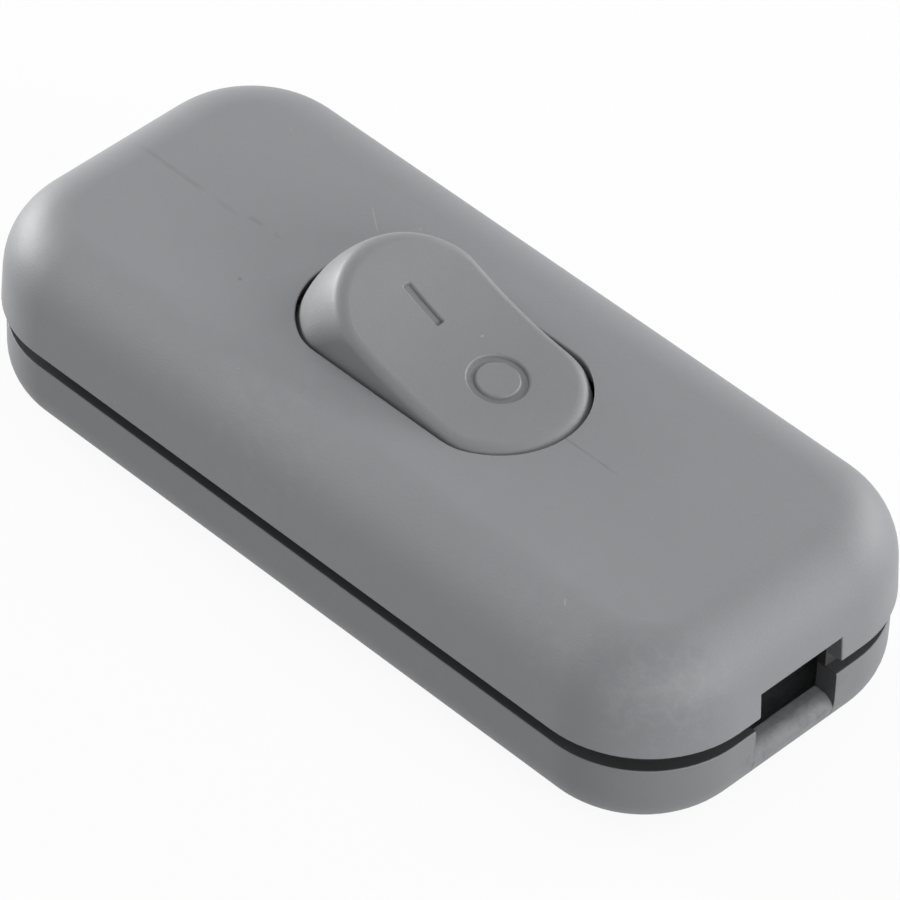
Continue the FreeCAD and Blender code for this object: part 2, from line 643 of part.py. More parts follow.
def rocker_spring():
    """Coil spring between the plunger and the end of its bore."""
    wire = value("sizes.spring_wire")
    radius = value("sizes.plunger_radius") - wire
    length = value("sizes.spring_length") - 2 * wire
    helix = Part.makeHelix(length / value("sizes.spring_turns"), length, radius)
    section = Part.Wire([Part.makeCircle(wire / 2, Vector(radius, 0, 0), Vector(0, 1, 0))])
    coil = Part.Wire(helix.Edges).makePipeShell([section], True, True)
    coil.translate(Vector(0, 0, value("places.plunger_top") + wire))
    spring = document.addObject("Part::Feature", "rocker_spring")
    spring.Label = "rocker_spring"
    spring.Shape = coil
    tilt = FreeCAD.Rotation(Vector(0, 1, 0), value("sizes.rocker_throw"))
    spring.Placement = FreeCAD.Placement(Vector(0, 0, value("places.pivot_height")), tilt)
    parts.append(spring)
    return spring


# Seesaw contact, drawn about the edge that it tips on
def on_fulcrum(body):
    """Puts a body that is drawn about the blade's axis in its tilted place."""
    body.Placement = FreeCAD.Placement(Vector(), FreeCAD.Rotation(Vector(0, 1, 0), -1))
    body.setExpression(".Placement.Base.z", "sizes.fulcrum_height")
    body.setExpression(".Placement.Rotation.Angle", "-sizes.contact_throw")
    return body


def contact_blade():
    body = new_body("contact_blade")
    section = new_sketch(body, "blade_section", plane="XZ_Plane")
    run = "sizes.blade_reach * cos(sizes.blade_wing_angle)"
    rise = "sizes.blade_reach * sin(sizes.blade_wing_angle)"
    lean = "sizes.blade_thickness * sin(sizes.blade_wing_angle)"
    stand = "sizes.blade_thickness * cos(sizes.blade_wing_angle)"
    steps = (
        ("0", "0"),
        (run, rise),
        ("%s - %s" % (run, lean), "%s + %s" % (rise, stand)),
        ("0", "sizes.blade_thickness / cos(sizes.blade_wing_angle)"),
        ("-(%s) + %s" % (run, lean), "%s + %s" % (rise, stand)),
        ("-(%s)" % run, rise),
    )
    outline(section, steps)
    pad(body, section, "sizes.blade_width", symmetric=True)
    lugs = new_sketch(body, "blade_lugs", plane="XZ_Plane")
    rectangle(lugs, "-sizes.lug_width / 2", "sizes.lug_width / 2", "0", "sizes.blade_thickness")
    pad(body, lugs, "2 * places.ear_outer", symmetric=True)
    return on_fulcrum(body)


def moving_contact():
    body = new_body("moving_contact")
    section = new_sketch(body, "moving_rivet", plane="XZ_Plane")
    dome = "(sizes.contact_radius^2 + sizes.contact_dome^2) / (2 * sizes.contact_dome)"
    steps = (
        ("0", "0"),
        ("0", "-sizes.contact_height", dome),
        ("sizes.contact_radius", "sizes.contact_dome - sizes.contact_height"),
        ("sizes.contact_radius", "0"),
    )
    outline(section, steps)
    revolve(body, section)
    slope = value("sizes.blade_wing_angle + sizes.contact_throw")
    reach = value("sizes.contact_reach")
    run = reach * math.cos(math.radians(slope))
    rise_to = value("sizes.fulcrum_height") + reach * math.sin(math.radians(slope))
    tilt = FreeCAD.Rotation(Vector(0, 1, 0), -slope)
    body.Placement = FreeCAD.Placement(Vector(run, 0, rise_to), tilt)
    return body


# Terminals
def terminal_block(body, name, left, right, half_width, screws):
    """Brass block on the floor with a wire hole along it and tapped holes from above."""
    block = new_sketch(body, name + "_block", lift="sizes.floor_thickness")
    rectangle(block, left, right, "-(%s)" % half_width, half_width)
    pad(body, block, "sizes.terminal_height")
    tapped = new_sketch(body, name + "_tapped", lift="places.terminal_top")
    for x in screws:
        circle(tapped, x, "0", "sizes.terminal_shank_radius + sizes.thread_clearance")
    pocket(body, tapped, "places.terminal_top - places.wire_height")
    bore = new_sketch(body, name + "_bore", plane="YZ_Plane")
    circle(bore, "0", "places.wire_height", "sizes.conductor_bore")
    return bore


def fulcrum_terminal():
    body = new_body("fulcrum_terminal")
    strip = new_sketch(body, "fulcrum_strip", lift="sizes.floor_thickness")
    rectangle(strip, "-sizes.terminal_reach", "sizes.ear_half_length",
              "-sizes.strip_width / 2", "sizes.strip_width / 2")
    pad(body, strip, "sizes.strip_thickness")
    ears = new_sketch(body, "ears", plane="XZ_Plane")
    notch_floor = "sizes.fulcrum_height - sizes.lug_clearance"
    ear_top = "sizes.fulcrum_height + sizes.ear_rise"
    steps = (
        ("-sizes.ear_half_length", "sizes.floor_thickness"),
        ("sizes.ear_half_length", "sizes.floor_thickness"),
        ("sizes.ear_half_length", ear_top),
        ("places.notch_half", ear_top),
        ("places.notch_half", notch_floor),
        ("-places.notch_half", notch_floor),
        ("-places.notch_half", ear_top),
        ("-sizes.ear_half_length", ear_top),
    )
    outline(ears, steps)
    pad(body, ears, "2 * places.ear_outer", symmetric=True)
    between = new_sketch(body, "between_ears", plane="XZ_Plane")
    rectangle(between, "-2 * sizes.ear_half_length", "2 * sizes.ear_half_length",
              "places.strip_top", "%s + sizes.overcut" % ear_top)
    pocket(body, between, "2 * places.ear_inner", symmetric=True)
    middle = "-(sizes.terminal_reach + places.terminal_inner) / 2"
    bore = terminal_block(body, "fulcrum", "-sizes.terminal_reach", "-places.terminal_inner",
                          "sizes.terminal_width / 2", [middle])
    pocket(body, bore, "2 * (sizes.terminal_reach + sizes.overcut)", symmetric=True)
    return body


def contact_terminal():
    body = new_body("contact_terminal")
    strip = new_sketch(body, "contact_strip", lift="sizes.floor_thickness")
    rectangle(strip, "sizes.contact_reach - sizes.contact_radius - sizes.strip_margin",
              "sizes.terminal_reach", "-sizes.strip_width / 2", "sizes.strip_width / 2")
    pad(body, strip, "sizes.strip_thickness")
    middle = "(sizes.terminal_reach + places.terminal_inner) / 2"
    bore = terminal_block(body, "contact", "places.terminal_inner", "sizes.terminal_reach",
                          "sizes.terminal_width / 2", [middle])
    pocket(body, bore, "2 * (sizes.terminal_reach + sizes.overcut)", symmetric=True)
    return body


def fixed_contact():
    body = new_body("fixed_contact")
    section = new_sketch(body, "fixed_rivet", plane="XZ_Plane")
    dome = "-(sizes.contact_radius^2 + sizes.contact_dome^2) / (2 * sizes.contact_dome)"
    steps = (
        ("0", "places.fixed_contact_height", dome),
        ("sizes.contact_radius", "places.fixed_contact_height - sizes.contact_dome"),
        ("sizes.contact_radius", "0"),
        ("0", "0"),
    )
    outline(section, steps)
    revolve(body, section)
    body.setExpression(".Placement.Base.x", "sizes.contact_reach")
    body.setExpression(".Placement.Base.z", "places.strip_top")
    return body


def through_terminal(label, side):
    """Straight-through terminal for a core that the switch doesn't break."""
    body = new_body(label)
    end = "sizes.through_length / 2"
    screws = ["sizes.through_screw_offset", "-sizes.through_screw_offset"]
    bore = terminal_block(body, label, "-(%s)" % end, end, "sizes.through_width / 2", screws)
    pocket(body, bore, "sizes.through_length + 2 * sizes.overcut", symmetric=True)
    body.setExpression(".Placement.Base.y", side + "places.through_offset")
    return body


# Screws
def screw_section(body, name, size, length, along="0", lift="0", upward=False):
    """Half section of a screw; the head rises from the level of its seat, or hangs under it."""
    section = new_sketch(body, name, plane="XZ_Plane", lift=lift, along=along)
    sign = "-" if upward else ""
    turn = "" if upward else "-"
    head, height = "sizes.%s_head_radius" % size, "sizes.%s_head_height" % size
    shank = "sizes.%s_shank_radius" % size
    crown = "%s * sizes.head_crown_share" % height
    dome = "%s(%s^2 + (%s)^2) / (2 * (%s))" % (turn, head, crown, crown)
    point = "%s * sizes.point_share" % shank
    steps = (
        ("0", "%s%s" % (sign, height), dome),
        (head, "%s(%s - %s)" % (sign, height, crown)),
        (head, "0"),
        (shank, "0"),
        (shank, "%s(%s - %s)" % (sign, point, length)),
        ("%s - %s" % (shank, point), "%s(0 - %s)" % (sign, length)),
        ("0", "%s(0 - %s)" % (sign, length)),
    )
    outline(section, steps)
    return section


def screw(label, size, x, z):
    """One screw, driven from above."""
    body = new_body(label)
    length = "sizes.%s_shank_length" % size
    revolve(body, screw_section(body, label + "_section", size, length))
    body.setExpression(".Placement.Base.x", x)
    body.setExpression(".Placement.Base.z", z)
    return body


def through_screws(label, side):
    """The two screws of a straight-through terminal."""
    body = new_body(label)
    section = screw_section(body, label + "_section", "terminal", "sizes.terminal_shank_length",
                            along="sizes.through_screw_offset")
    turned = revolve(body, section)
    mirror(body, [turned], "YZ_Plane", label + "_pair")
    body.setExpression(".Placement.Base.y", side + "places.through_offset")
    body.setExpression(".Placement.Base.z", "places.terminal_top")
    return body


def housing_screws():
    """The two screws that hold the shells together, driven from below."""
    body = new_body("housing_screws")
    section = screw_section(body, "housing_screw", "housing", "places.housing_shank_length",
                            along="places.housing_screw_x", lift="sizes.housing_screw_y", upward=True)
    turned = revolve(body, section)
    half_turn(body, [turned], "housing_screw_pair")
    body.setExpression(".Placement.Base.z", "sizes.counterbore_depth")
    return body


# Cord clamps
def cord_clamp(label, side):
    """Saddle over the cord with a foot to each side."""
    body = new_body(label)
    bridge = new_sketch(body, label + "_bridge", plane="YZ_Plane")
    rectangle(bridge, "-sizes.clamp_half_width", "sizes.clamp_half_width", "0", "sizes.clamp_thickness")
    pad(body, bridge, "sizes.clamp_length", symmetric=True)
    arch = new_sketch(body, label + "_arch", plane="YZ_Plane")
    circle(arch, "0", "0", "sizes.clamp_arch_radius + sizes.clamp_arch_wall")
    pad(body, arch, "sizes.clamp_length", symmetric=True)
    inside = new_sketch(body, label + "_inside", plane="YZ_Plane")
    circle(inside, "0", "0", "sizes.clamp_arch_radius")
    pocket(body, inside, "2 * sizes.clamp_length", symmetric=True)
    below = new_sketch(body, label + "_below", plane="YZ_Plane")
    rectangle(below, "-sizes.clamp_half_width", "sizes.clamp_half_width", "-sizes.clamp_half_width", "0")
    pocket(body, below, "2 * sizes.clamp_length", symmetric=True)
    holes = new_sketch(body, label + "_holes", lift="sizes.clamp_thickness")
    for y in ("sizes.clamp_screw_offset", "-sizes.clamp_screw_offset"):
        circle(holes, "0", y, "sizes.clamp_shank_radius + sizes.housing_shank_clearance")
    pocket(body, holes, "2 * sizes.clamp_thickness")
    body.setExpression(".Placement.Base.x", side + "places.clamp_position")
    body.setExpression(".Placement.Base.z", "sizes.clamp_seat")
    return body


def clamp_screws(label, side):
    """The two screws of a cord clamp."""
    body = new_body(label)
    section = screw_section(body, label + "_section", "clamp", "sizes.clamp_shank_length",
                            lift="sizes.clamp_screw_offset")
    turned = revolve(body, section)
    mirror(body, [turned], "XZ_Plane", label + "_pair")
    body.setExpression(".Placement.Base.x", side + "places.clamp_position")
    body.setExpression(".Placement.Base.z", "sizes.clamp_seat + sizes.clamp_thickness")
    return body


terminal_middle = "(sizes.terminal_reach + places.terminal_inner) / 2"
upper_shell()
lower_shell()
housing_screws()
rocker()
rocker_plunger()
rocker_spring()
contact_blade()
moving_contact()
fulcrum_terminal()
contact_terminal()
fixed_contact()
screw("fulcrum_terminal_screw", "terminal", "-" + terminal_middle, "places.terminal_top")
screw("contact_terminal_screw", "terminal", terminal_middle, "places.terminal_top")
through_terminal("neutral_terminal", "-")
through_screws("neutral_terminal_screws", "-")
through_terminal("earth_terminal", "")
through_screws("earth_terminal_screws", "")
cord_clamp("near_cord_clamp", "")
clamp_screws("near_clamp_screws", "")
cord_clamp("far_cord_clamp", "-")
clamp_screws("far_clamp_screws", "-")
document.recompute()

# Every object has to be sound before anything is written
for item in document.Objects:
    if {"Invalid", "Error"} & set(item.State):
        raise RuntimeError("%s failed" % item.Label)
for part in parts:
    if part.Shape.isNull() or not part.Shape.isValid() or not part.Shape.Solids:
        raise RuntimeError("%s has no sound solid" % part.Label)

os.makedirs("parts", exist_ok=True)
for part in parts:
    part.Shape.exportStep(os.path.join("parts", part.Label + ".step"))
    box = part.Shape.optimalBoundingBox(False)
    print("%-26s %9.2f mm3  %d solid(s)  x %.2f..%.2f  y %.2f..%.2f  z %.2f..%.2f" % (
        part.Label, part.Shape.Volume, len(part.Shape.Solids),
        box.XMin, box.XMax, box.YMin, box.YMax, box.ZMin, box.ZMax))
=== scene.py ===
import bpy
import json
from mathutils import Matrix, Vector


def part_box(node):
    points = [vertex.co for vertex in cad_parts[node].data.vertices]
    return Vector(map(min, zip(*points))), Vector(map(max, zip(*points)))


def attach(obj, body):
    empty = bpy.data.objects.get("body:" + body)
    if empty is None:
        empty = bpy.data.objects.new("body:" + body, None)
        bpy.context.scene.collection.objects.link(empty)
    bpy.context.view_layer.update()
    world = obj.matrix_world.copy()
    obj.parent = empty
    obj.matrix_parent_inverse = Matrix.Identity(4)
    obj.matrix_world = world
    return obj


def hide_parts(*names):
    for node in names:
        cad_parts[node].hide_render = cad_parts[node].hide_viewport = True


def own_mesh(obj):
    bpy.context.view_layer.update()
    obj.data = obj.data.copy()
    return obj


bl_info = {
    "name": "Inline Cord Switch",
    "version": (1, 0, 0),
    "blender": (4, 5, 0),
    "location": "View3D > Sidebar > Cord Switch",
    "description": "Housing, rocker, screws and finishes of an inline cord switch",
    "category": "Object",
}

import json
import math
from types import SimpleNamespace

import bmesh
import bpy
from bpy.props import FloatProperty, FloatVectorProperty, IntProperty, PointerProperty
from mathutils import Matrix, Vector

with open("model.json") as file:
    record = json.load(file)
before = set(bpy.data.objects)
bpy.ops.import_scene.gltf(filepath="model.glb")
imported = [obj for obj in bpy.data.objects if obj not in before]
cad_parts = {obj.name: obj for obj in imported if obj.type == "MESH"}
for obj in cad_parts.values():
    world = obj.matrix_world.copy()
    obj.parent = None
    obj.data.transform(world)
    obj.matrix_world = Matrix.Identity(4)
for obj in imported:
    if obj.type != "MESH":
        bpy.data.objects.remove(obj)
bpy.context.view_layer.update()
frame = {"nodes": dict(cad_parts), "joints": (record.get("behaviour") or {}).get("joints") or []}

# Meshes are drawn in millimetres and scaled to metres when they are finished
MM = 0.001

# From the frame: boxes of the pieces, its joints and height of the rocker's axis
UPPER_LOW, UPPER_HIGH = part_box("upper_shell")
LOWER_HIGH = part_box("lower_shell")[1]
SCREW_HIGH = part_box("housing_screws")[1]
JOINTS = {joint["name"]: joint for joint in frame["joints"]}
PIVOT = JOINTS["rocker_tilt"]["pos_m"][2]

# Edges that bend more than this stay sharp
SHARP = math.radians(38)

# In millimetres: points this close are one, joined solids run this far into each other, and
# cutters start this far from a face
MERGE = 0.001
OVERLAP = 1
CLEAR = 0.3

# Faces of small shapes, and halvings of a search
CIRCLE_STEPS = 48
PILOT_STEPS = 24
SILL_STEPS = 8
RING_STEPS = 72
BAR_STEPS = 8
BAR_CORNER_STEPS = 4
MARK_STEPS = 5
WIRE_STEPS = 12
COIL_STEPS = 36
HALVINGS = 40


def length(name, description, default):
    """Property for a length in metres."""
    return FloatProperty(name=name, description=description, default=default, unit="LENGTH", precision=5)


def angle(name, description, degrees):
    """Property for an angle."""
    return FloatProperty(name=name, description=description, default=math.radians(degrees), unit="ROTATION")


def count(name, description, default):
    """Property for a number of faces or turns."""
    return IntProperty(name=name, description=description, default=default, min=1)


def colour(name, description, default):
    """Property for a colour."""
    return FloatVectorProperty(name=name, description=description, default=default, size=3,
                               subtype="COLOR", min=0, max=1)


class HousingSizes(bpy.types.PropertyGroup):
    """Sizes of the two shells."""
    length: length("Length", "Housing along the cord", UPPER_HIGH.x - UPPER_LOW.x)
    width: length("Width", "Housing across the cord", UPPER_HIGH.y - UPPER_LOW.y)
    height: length("Height", "Base to the flat top", UPPER_HIGH.z)
    parting: length("Parting height", "Base to the rim of the upper shell", UPPER_LOW.z)
    corner: length("Corner radius", "Upright corners seen from above", 0.0091)
    wall: length("Wall", "Wall of the upper shell", 0.0013)
    draft: angle("Draft", "Lean of the upper shell's walls", 3)
    top_radius: length("Top edge", "Soft edge round the top", 0.0053)
    inset: length("Lower inset", "Lower shell stands back from the upper one", UPPER_HIGH.x - LOWER_HIGH.x)
    rim: length("Lower rim", "Base to the rim of the lower shell", 0.0066)
    bottom_radius: length("Bottom edge", "Soft edge round the base", 0.0041)
    floor: length("Floor", "Floor of the lower shell", 0.002)
    lip: length("Lip", "Thickness of the locating lip", 0.0007)
    lip_top: length("Lip top", "Base to the top of the lip", LOWER_HIGH.z)
    lip_gap: length("Lip gap", "Lip to the upper shell's wall", 0.00015)
    soft: length("Softening", "Rounding of the moulded edges", 0.00014)
    outlet: length("Outlet width", "Cord outlet across", 0.008)
    outlet_top: length("Outlet top", "Base to the top of the outlet", 0.0103)
    outlet_floor: length("Outlet floor", "Base to the bottom of the outlet", 0.0043)
    sill: length("Sill radius", "Rounded sill that the cord bends over", 0.0013)
    screw_x: length("Screw place along", "Housing screws along the cord", 0.0215)
    screw_y: length("Screw place across", "Housing screws across the cord", 0.008)
    boss: length("Boss radius", "Screw bosses", 0.0027)
    boss_split: length("Boss split", "Level where the bosses of both shells meet", 0.009)
    foot: length("Boss foot", "Boss round a counterbore, its radius", 0.0033)
    foot_height: length("Boss foot height", "Base to the top of that boss", 0.0038)
    pilot: length("Pilot radius", "Screw holes in the upper shell", 0.00115)
    pilot_top: length("Pilot top", "Base to the end of those holes", 0.0135)
    shank_hole: length("Shank hole radius", "Screw holes in the lower shell", 0.00125)
    counterbore: length("Counterbore radius", "Counterbores in the base", 0.00235)
    counterbore_depth: length("Counterbore depth", "Counterbores in the base", 0.0022)
    cheek_half: length("Cheek half length", "Walls that carry the rocker's pins", 0.0032)
    cheek: length("Cheek thickness", "Those walls", 0.00145)
    cheek_bottom: length("Cheek bottom", "Base to the lower end of those walls", 0.0082)
    clamp_x: length("Clamp place", "Cord clamps from the middle", 0.0274)
    clamp_length: length("Clamp length", "Cord clamps along the cord", 0.0048)
    clamp_half: length("Clamp half width", "Feet of the clamps", 0.0082)
    clamp_inner: length("Clamp foot inner side", "Feet of the clamps", 0.00375)
    clamp_seat: length("Clamp seat", "Base to the clamps' feet", 0.006)
    clamp_pilot: length("Clamp pilot radius", "Holes for the clamp screws", 0.00105)
    clamp_screw: length("Clamp screw place", "Clamp screws from the middle", 0.00645)
    cradle: length("Cradle height", "Base to the rib that the cord lies on", 0.0041)
    cradle_length: length("Cradle length", "That rib along the cord", 0.0012)
    rib: length("Rib thickness", "Ribs that hold the metal parts", 0.0008)
    strip_rib_start: length("Strip rib start", "Ribs beside the strips, from the middle", 0.004)
    strip_rib_end: length("Strip rib end", "Ribs beside the strips, from the middle", 0.0127)
    strip_rib_inner: length("Strip rib inner side", "Ribs beside the strips", 0.00265)
    strip_rib_top: length("Strip rib top", "Base to the top of those ribs", 0.0036)
    bay_end: length("Bay end", "Corner ribs of the straight-through terminals", 0.00815)
    bay_open: length("Bay opening", "Corner ribs, from the middle", 0.004)
    bay_inner: length("Bay inner side", "Corner ribs, across", 0.00675)
    bay_top: length("Bay top", "Base to the top of the corner ribs", 0.0056)
    corner_steps: count("Corner steps", "Faces in an upright corner", 18)
    edge_steps: count("Edge steps", "Faces in a soft edge", 14)
    soft_steps: count("Softening steps", "Faces in a softened edge", 3)


class RockerSizes(bpy.types.PropertyGroup):
    """Sizes of the rocker, measured from its axis."""
    pivot: length("Axis height", "Base to the rocker's axis", PIVOT)
    throw: angle("Throw", "Tilt at rest", 15)
    reach: length("Reach", "Ends from the axis", 0.01262)
    half_width: length("Half width", "Sides from the middle", 0.00625)
    end_radius: length("End radius", "Roundness of the ends", 0.006864)
    side_blend: length("Side blend", "Side into end", 0.003)
    gap: length("Gap", "Rocker to its opening", 0.0003)
    middle_height: length("Middle height", "Finger faces meet this far above the axis", 0.00566)
    wing_angle: angle("Wing angle", "Slope of each finger face", 11.4)
    dish_radius: length("Dish radius", "Hollow where the finger faces meet", 0.032)
    edge: length("Edge radius", "Edge of the finger faces", 0.00075)
    skirt: length("Skirt", "Rocker below its axis", 0.0005)
    hollow_half: length("Hollow half width", "Hollows under the finger faces", 0.00433)
    hollow_inner: length("Hollow inner side", "Hollows from the middle", 0.0036)
    hollow_outer: length("Hollow outer side", "Hollows from the middle", 0.00878)
    hollow_top: length("Hollow top", "Hollows above the axis", 0.004)
    pin: length("Pin radius", "Pins that the rocker tilts on", 0.0015)
    pin_end: length("Pin end", "Pins from the middle", 0.0076)
    pin_gap: length("Pin gap", "Pin to its hole", 0.00005)
    boss: length("Plunger boss radius", "Boss round the plunger's bore", 0.0024)
    boss_drop: length("Plunger boss drop", "Boss below the axis", 0.0032)
    bore: length("Bore radius", "Bore of the plunger", 0.00135)
    bore_top: length("Bore top", "End of the bore above the axis", 0.0033)
    spring_reach: length("Spring reach", "Middle of the plunger spring's wire from its axis", 0.001)
    spring_wire: length("Spring wire", "Thickness of that wire", 0.0003)
    spring_length: length("Spring length", "Room in the bore for the spring", 0.00355)
    spring_turns: count("Spring turns", "Turns of the plunger spring", 5)
    mark_depth: length("Mark depth", "Depth of the two marks", 0.00028)
    mark_soft: length("Mark softening", "Rounding of the marks' edges", 0.0002)
    mark_lean: length("Mark lean", "How far the sides of the marks lean", 0.00003)
    bar_length: length("Bar length", "Floor of the on mark along the rocker", 0.0036)
    bar_width: length("Bar width", "Floor of the on mark across", 0.0005)
    bar_corner: length("Bar corner", "Corners of the on mark's floor", 0.00006)
    bar_place: length("Bar place", "Middle of the on mark along the rocker", -0.0043)
    ring_outer: length("Ring outer radius", "Floor of the off mark, outside", 0.00216)
    ring_width: length("Ring width", "Floor of the off mark across", 0.00046)
    ring_place: length("Ring place", "Middle of the off mark along the rocker", 0.0035)
    mark_shift: length("Mark shift", "Both marks off the middle line", 0.00026)
    end_steps: count("End steps", "Faces round an end", 36)
    blend_steps: count("Blend steps", "Faces in a side blend", 8)
    dish_steps: count("Dish steps", "Faces across the hollow", 20)
    edge_steps: count("Edge steps", "Faces in the soft edge", 7)
    wall_steps: count("Wall steps", "Faces down the sides", 14)


class ScrewSizes(bpy.types.PropertyGroup):
    """Sizes of the two housing screws."""
    head: length("Head radius", "Heads of the housing screws", 0.0021)
    head_height: length("Head height", "Heads of the housing screws", 0.0015)
    seat: length("Seat", "Base to the seat of the heads", 0.0022)
    shank: length("Shank radius", "Housing screws", 0.0011)
    tip: length("Tip", "Base to the screws' tips", SCREW_HIGH.z)
    pitch: length("Pitch", "Thread of the screws", 0.0009)
    thread: length("Thread depth", "Thread of the screws", 0.00022)
    recess: length("Recess reach", "Arms of the cross recess from the middle", 0.00125)
    recess_depth: length("Recess depth", "Cross recess", 0.00105)
    recess_arm: length("Recess arm", "Width of an arm", 0.00046)


class Colours(bpy.types.PropertyGroup):
    """Colours of the finishes."""
    housing: colour("Housing", "Grey plastic of the shells", (0.238, 0.243, 0.255))
    # Painted shade: the lower shell gets the housing grey made darker
    lower: colour("Lower shell", "Grey plastic of the lower shell", (0.203, 0.207, 0.217))
    rocker: colour("Rocker", "Grey plastic of the rocker", (0.225, 0.229, 0.239))
    clamp: colour("Clamps", "Plastic of the cord clamps", (0.30, 0.303, 0.31))
    plunger: colour("Plunger", "Plastic of the sprung plunger", (0.72, 0.71, 0.67))
    brass: colour("Brass", "Terminals and contact blade", (0.72, 0.52, 0.22))
    silver: colour("Silver", "Contact rivets", (0.80, 0.79, 0.77))
    steel: colour("Steel", "Screws and spring", (0.56, 0.56, 0.57))
    floor: colour("Floor", "Floor under the switch", (0.49, 0.49, 0.49))


def in_mm(context, name):
    """Values of a property group, its lengths in millimetres."""
    values = SimpleNamespace()
    group = getattr(context.scene, "cord_switch_" + name)
    for prop in group.bl_rna.properties:
        if prop.type in {"FLOAT", "INT"}:
            number = getattr(group, prop.identifier)
            is_length = getattr(prop, "unit", "NONE") == "LENGTH"
            setattr(values, prop.identifier, number / MM if is_length else number)
    return values


# Mesh tools
def skin(rings):
    """Solid through rings of points, with a face over the first ring and over the last."""
    bm = bmesh.new()
    bmesh.ops.create_circle(bm, segments=len(rings[0]), radius=1)
    verts = list(bm.verts)
    for vert, point in zip(verts, rings[0]):
        vert.co = point
    edges = bm.edges[:]
    bmesh.ops.contextual_create(bm, geom=edges)
    for points in rings[1:]:
        place = {vert: number for number, vert in enumerate(verts)}
        grown = bmesh.ops.extrude_edge_only(bm, edges=edges)["geom"]
        fresh = {item for item in grown if isinstance(item, bmesh.types.BMVert)}
        for vert in fresh:
            source = next(edge.other_vert(vert) for edge in vert.link_edges
                          if edge.other_vert(vert) in place)
            verts[place[source]] = vert
        for vert, point in zip(verts, points):
            vert.co = point
        edges = [item for item in grown
                 if isinstance(item, bmesh.types.BMEdge) and fresh.issuperset(item.verts)]
    bmesh.ops.contextual_create(bm, geom=edges)
    bmesh.ops.recalc_face_normals(bm, faces=bm.faces[:])
    return bm, verts


def level(points, height):
    """Flat points lifted to a height."""
    return [Vector((point[0], point[1], height)) for point in points]


def arc(middle, radius, start, end, steps):
    """Points of an arc about a middle, its angles in degrees."""
    turns = [math.radians(start + (end - start) * step / steps) for step in range(steps + 1)]
    return [Vector((middle[0] + radius * math.cos(turn), middle[1] + radius * math.sin(turn)))
            for turn in turns]


def round_plan(long_side, short_side, radius, inset, steps):
    """Rounded rectangle drawn inwards by an inset, counter-clockwise."""
    x, y = long_side / 2 - radius, short_side / 2 - radius
    points = []
    for quarter, middle in enumerate(((x, y), (-x, y), (-x, -y), (x, -y))):
        points += arc(middle, radius - inset, quarter * 90, quarter * 90 + 90, steps)
    return points


def circle_plan(radius, x=0, y=0, steps=CIRCLE_STEPS):
    """Circle of points."""
    return arc((x, y), radius, 0, 360, steps)[:-1]


def box_plan(left, right, near, far):
    """Rectangle between four sides."""
    return [Vector(point) for point in ((left, near), (right, near), (right, far), (left, far))]


def prism(plan, bottom, top):
    """Upright solid over a plan."""
    return skin([level(plan, bottom), level(plan, top)])[0]


def tower(sections):
    """Upright solid through plans at their heights."""
    return skin([level(plan, height) for plan, height in sections])[0]


def sideways(plan, start, end):
    """Solid over a plan drawn in X and Z, from one place across to another."""
    rings = [[Vector((point[0], across, point[1])) for point in plan] for across in (start, end)]
    return skin(rings)[0]


def to_object(name, solids):
    """Object of one or more solids, still in millimetres."""
    mesh = bpy.data.meshes.new(name)
    whole = bmesh.new()
    for solid in solids:
        part = bpy.data.meshes.new(name + "_part")
        solid.to_mesh(part)
        solid.free()
        whole.from_mesh(part)
        bpy.data.meshes.remove(part)
    bmesh.ops.recalc_face_normals(whole, faces=whole.faces[:])
    whole.to_mesh(mesh)
    whole.free()
    piece = bpy.data.objects.new(name, mesh)
    bpy.context.scene.collection.objects.link(piece)
    return piece


def combine(piece, steps):
    """Joins solids to a piece or cuts them out of it, one step after another."""
    tools = []
    for number, (operation, solids) in enumerate(steps):
        tool = to_object("%s_tool_%d" % (piece.name, number), solids)
        modifier = piece.modifiers.new(tool.name, "BOOLEAN")
        modifier.operation = operation
        modifier.solver = "EXACT"
        modifier.object = tool
        tools.append(tool)
    bpy.context.view_layer.update()
    solid = piece.evaluated_get(bpy.context.evaluated_depsgraph_get())
    mesh = bpy.data.meshes.new_from_object(solid)
    if not mesh.polygons:
        raise RuntimeError("%s: nothing is left of it" % piece.name)
    piece.modifiers.clear()
    piece.data = mesh
    for tool in tools:
        bpy.data.objects.remove(tool)


def soften(piece, width, steps, chosen):
    """Rounds the sharp edges of a piece that a test picks."""
    bm = bmesh.new()
    bm.from_mesh(piece.data)
    bmesh.ops.remove_doubles(bm, verts=bm.verts[:], dist=MERGE)
    edges = [edge for edge in bm.edges
             if len(edge.link_faces) == 2 and edge.calc_face_angle() > SHARP and chosen(edge)]
    bmesh.ops.bevel(bm, geom=edges, offset=width, offset_type="OFFSET", affect="EDGES",
                    segments=steps, profile=0.5, material=-1, clamp_overlap=True)
    bm.to_mesh(piece.data)
    bm.free()


def finish_piece(piece, body, material, node, matrix=Matrix()):
    """Brings a piece to metres and to its place, smooths it and hands it to the frame."""
    piece.data.transform(Matrix.Scale(MM, 4) @ matrix)
    piece.data.shade_smooth()
    piece.data.set_sharp_from_angle(angle=SHARP)
    normals = piece.modifiers.new("even_normals", "WEIGHTED_NORMAL")
    normals.keep_sharp = True
    piece.data.materials.clear()
    piece.data.materials.append(bpy.data.materials[material])
    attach(piece, body)
    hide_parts(node)


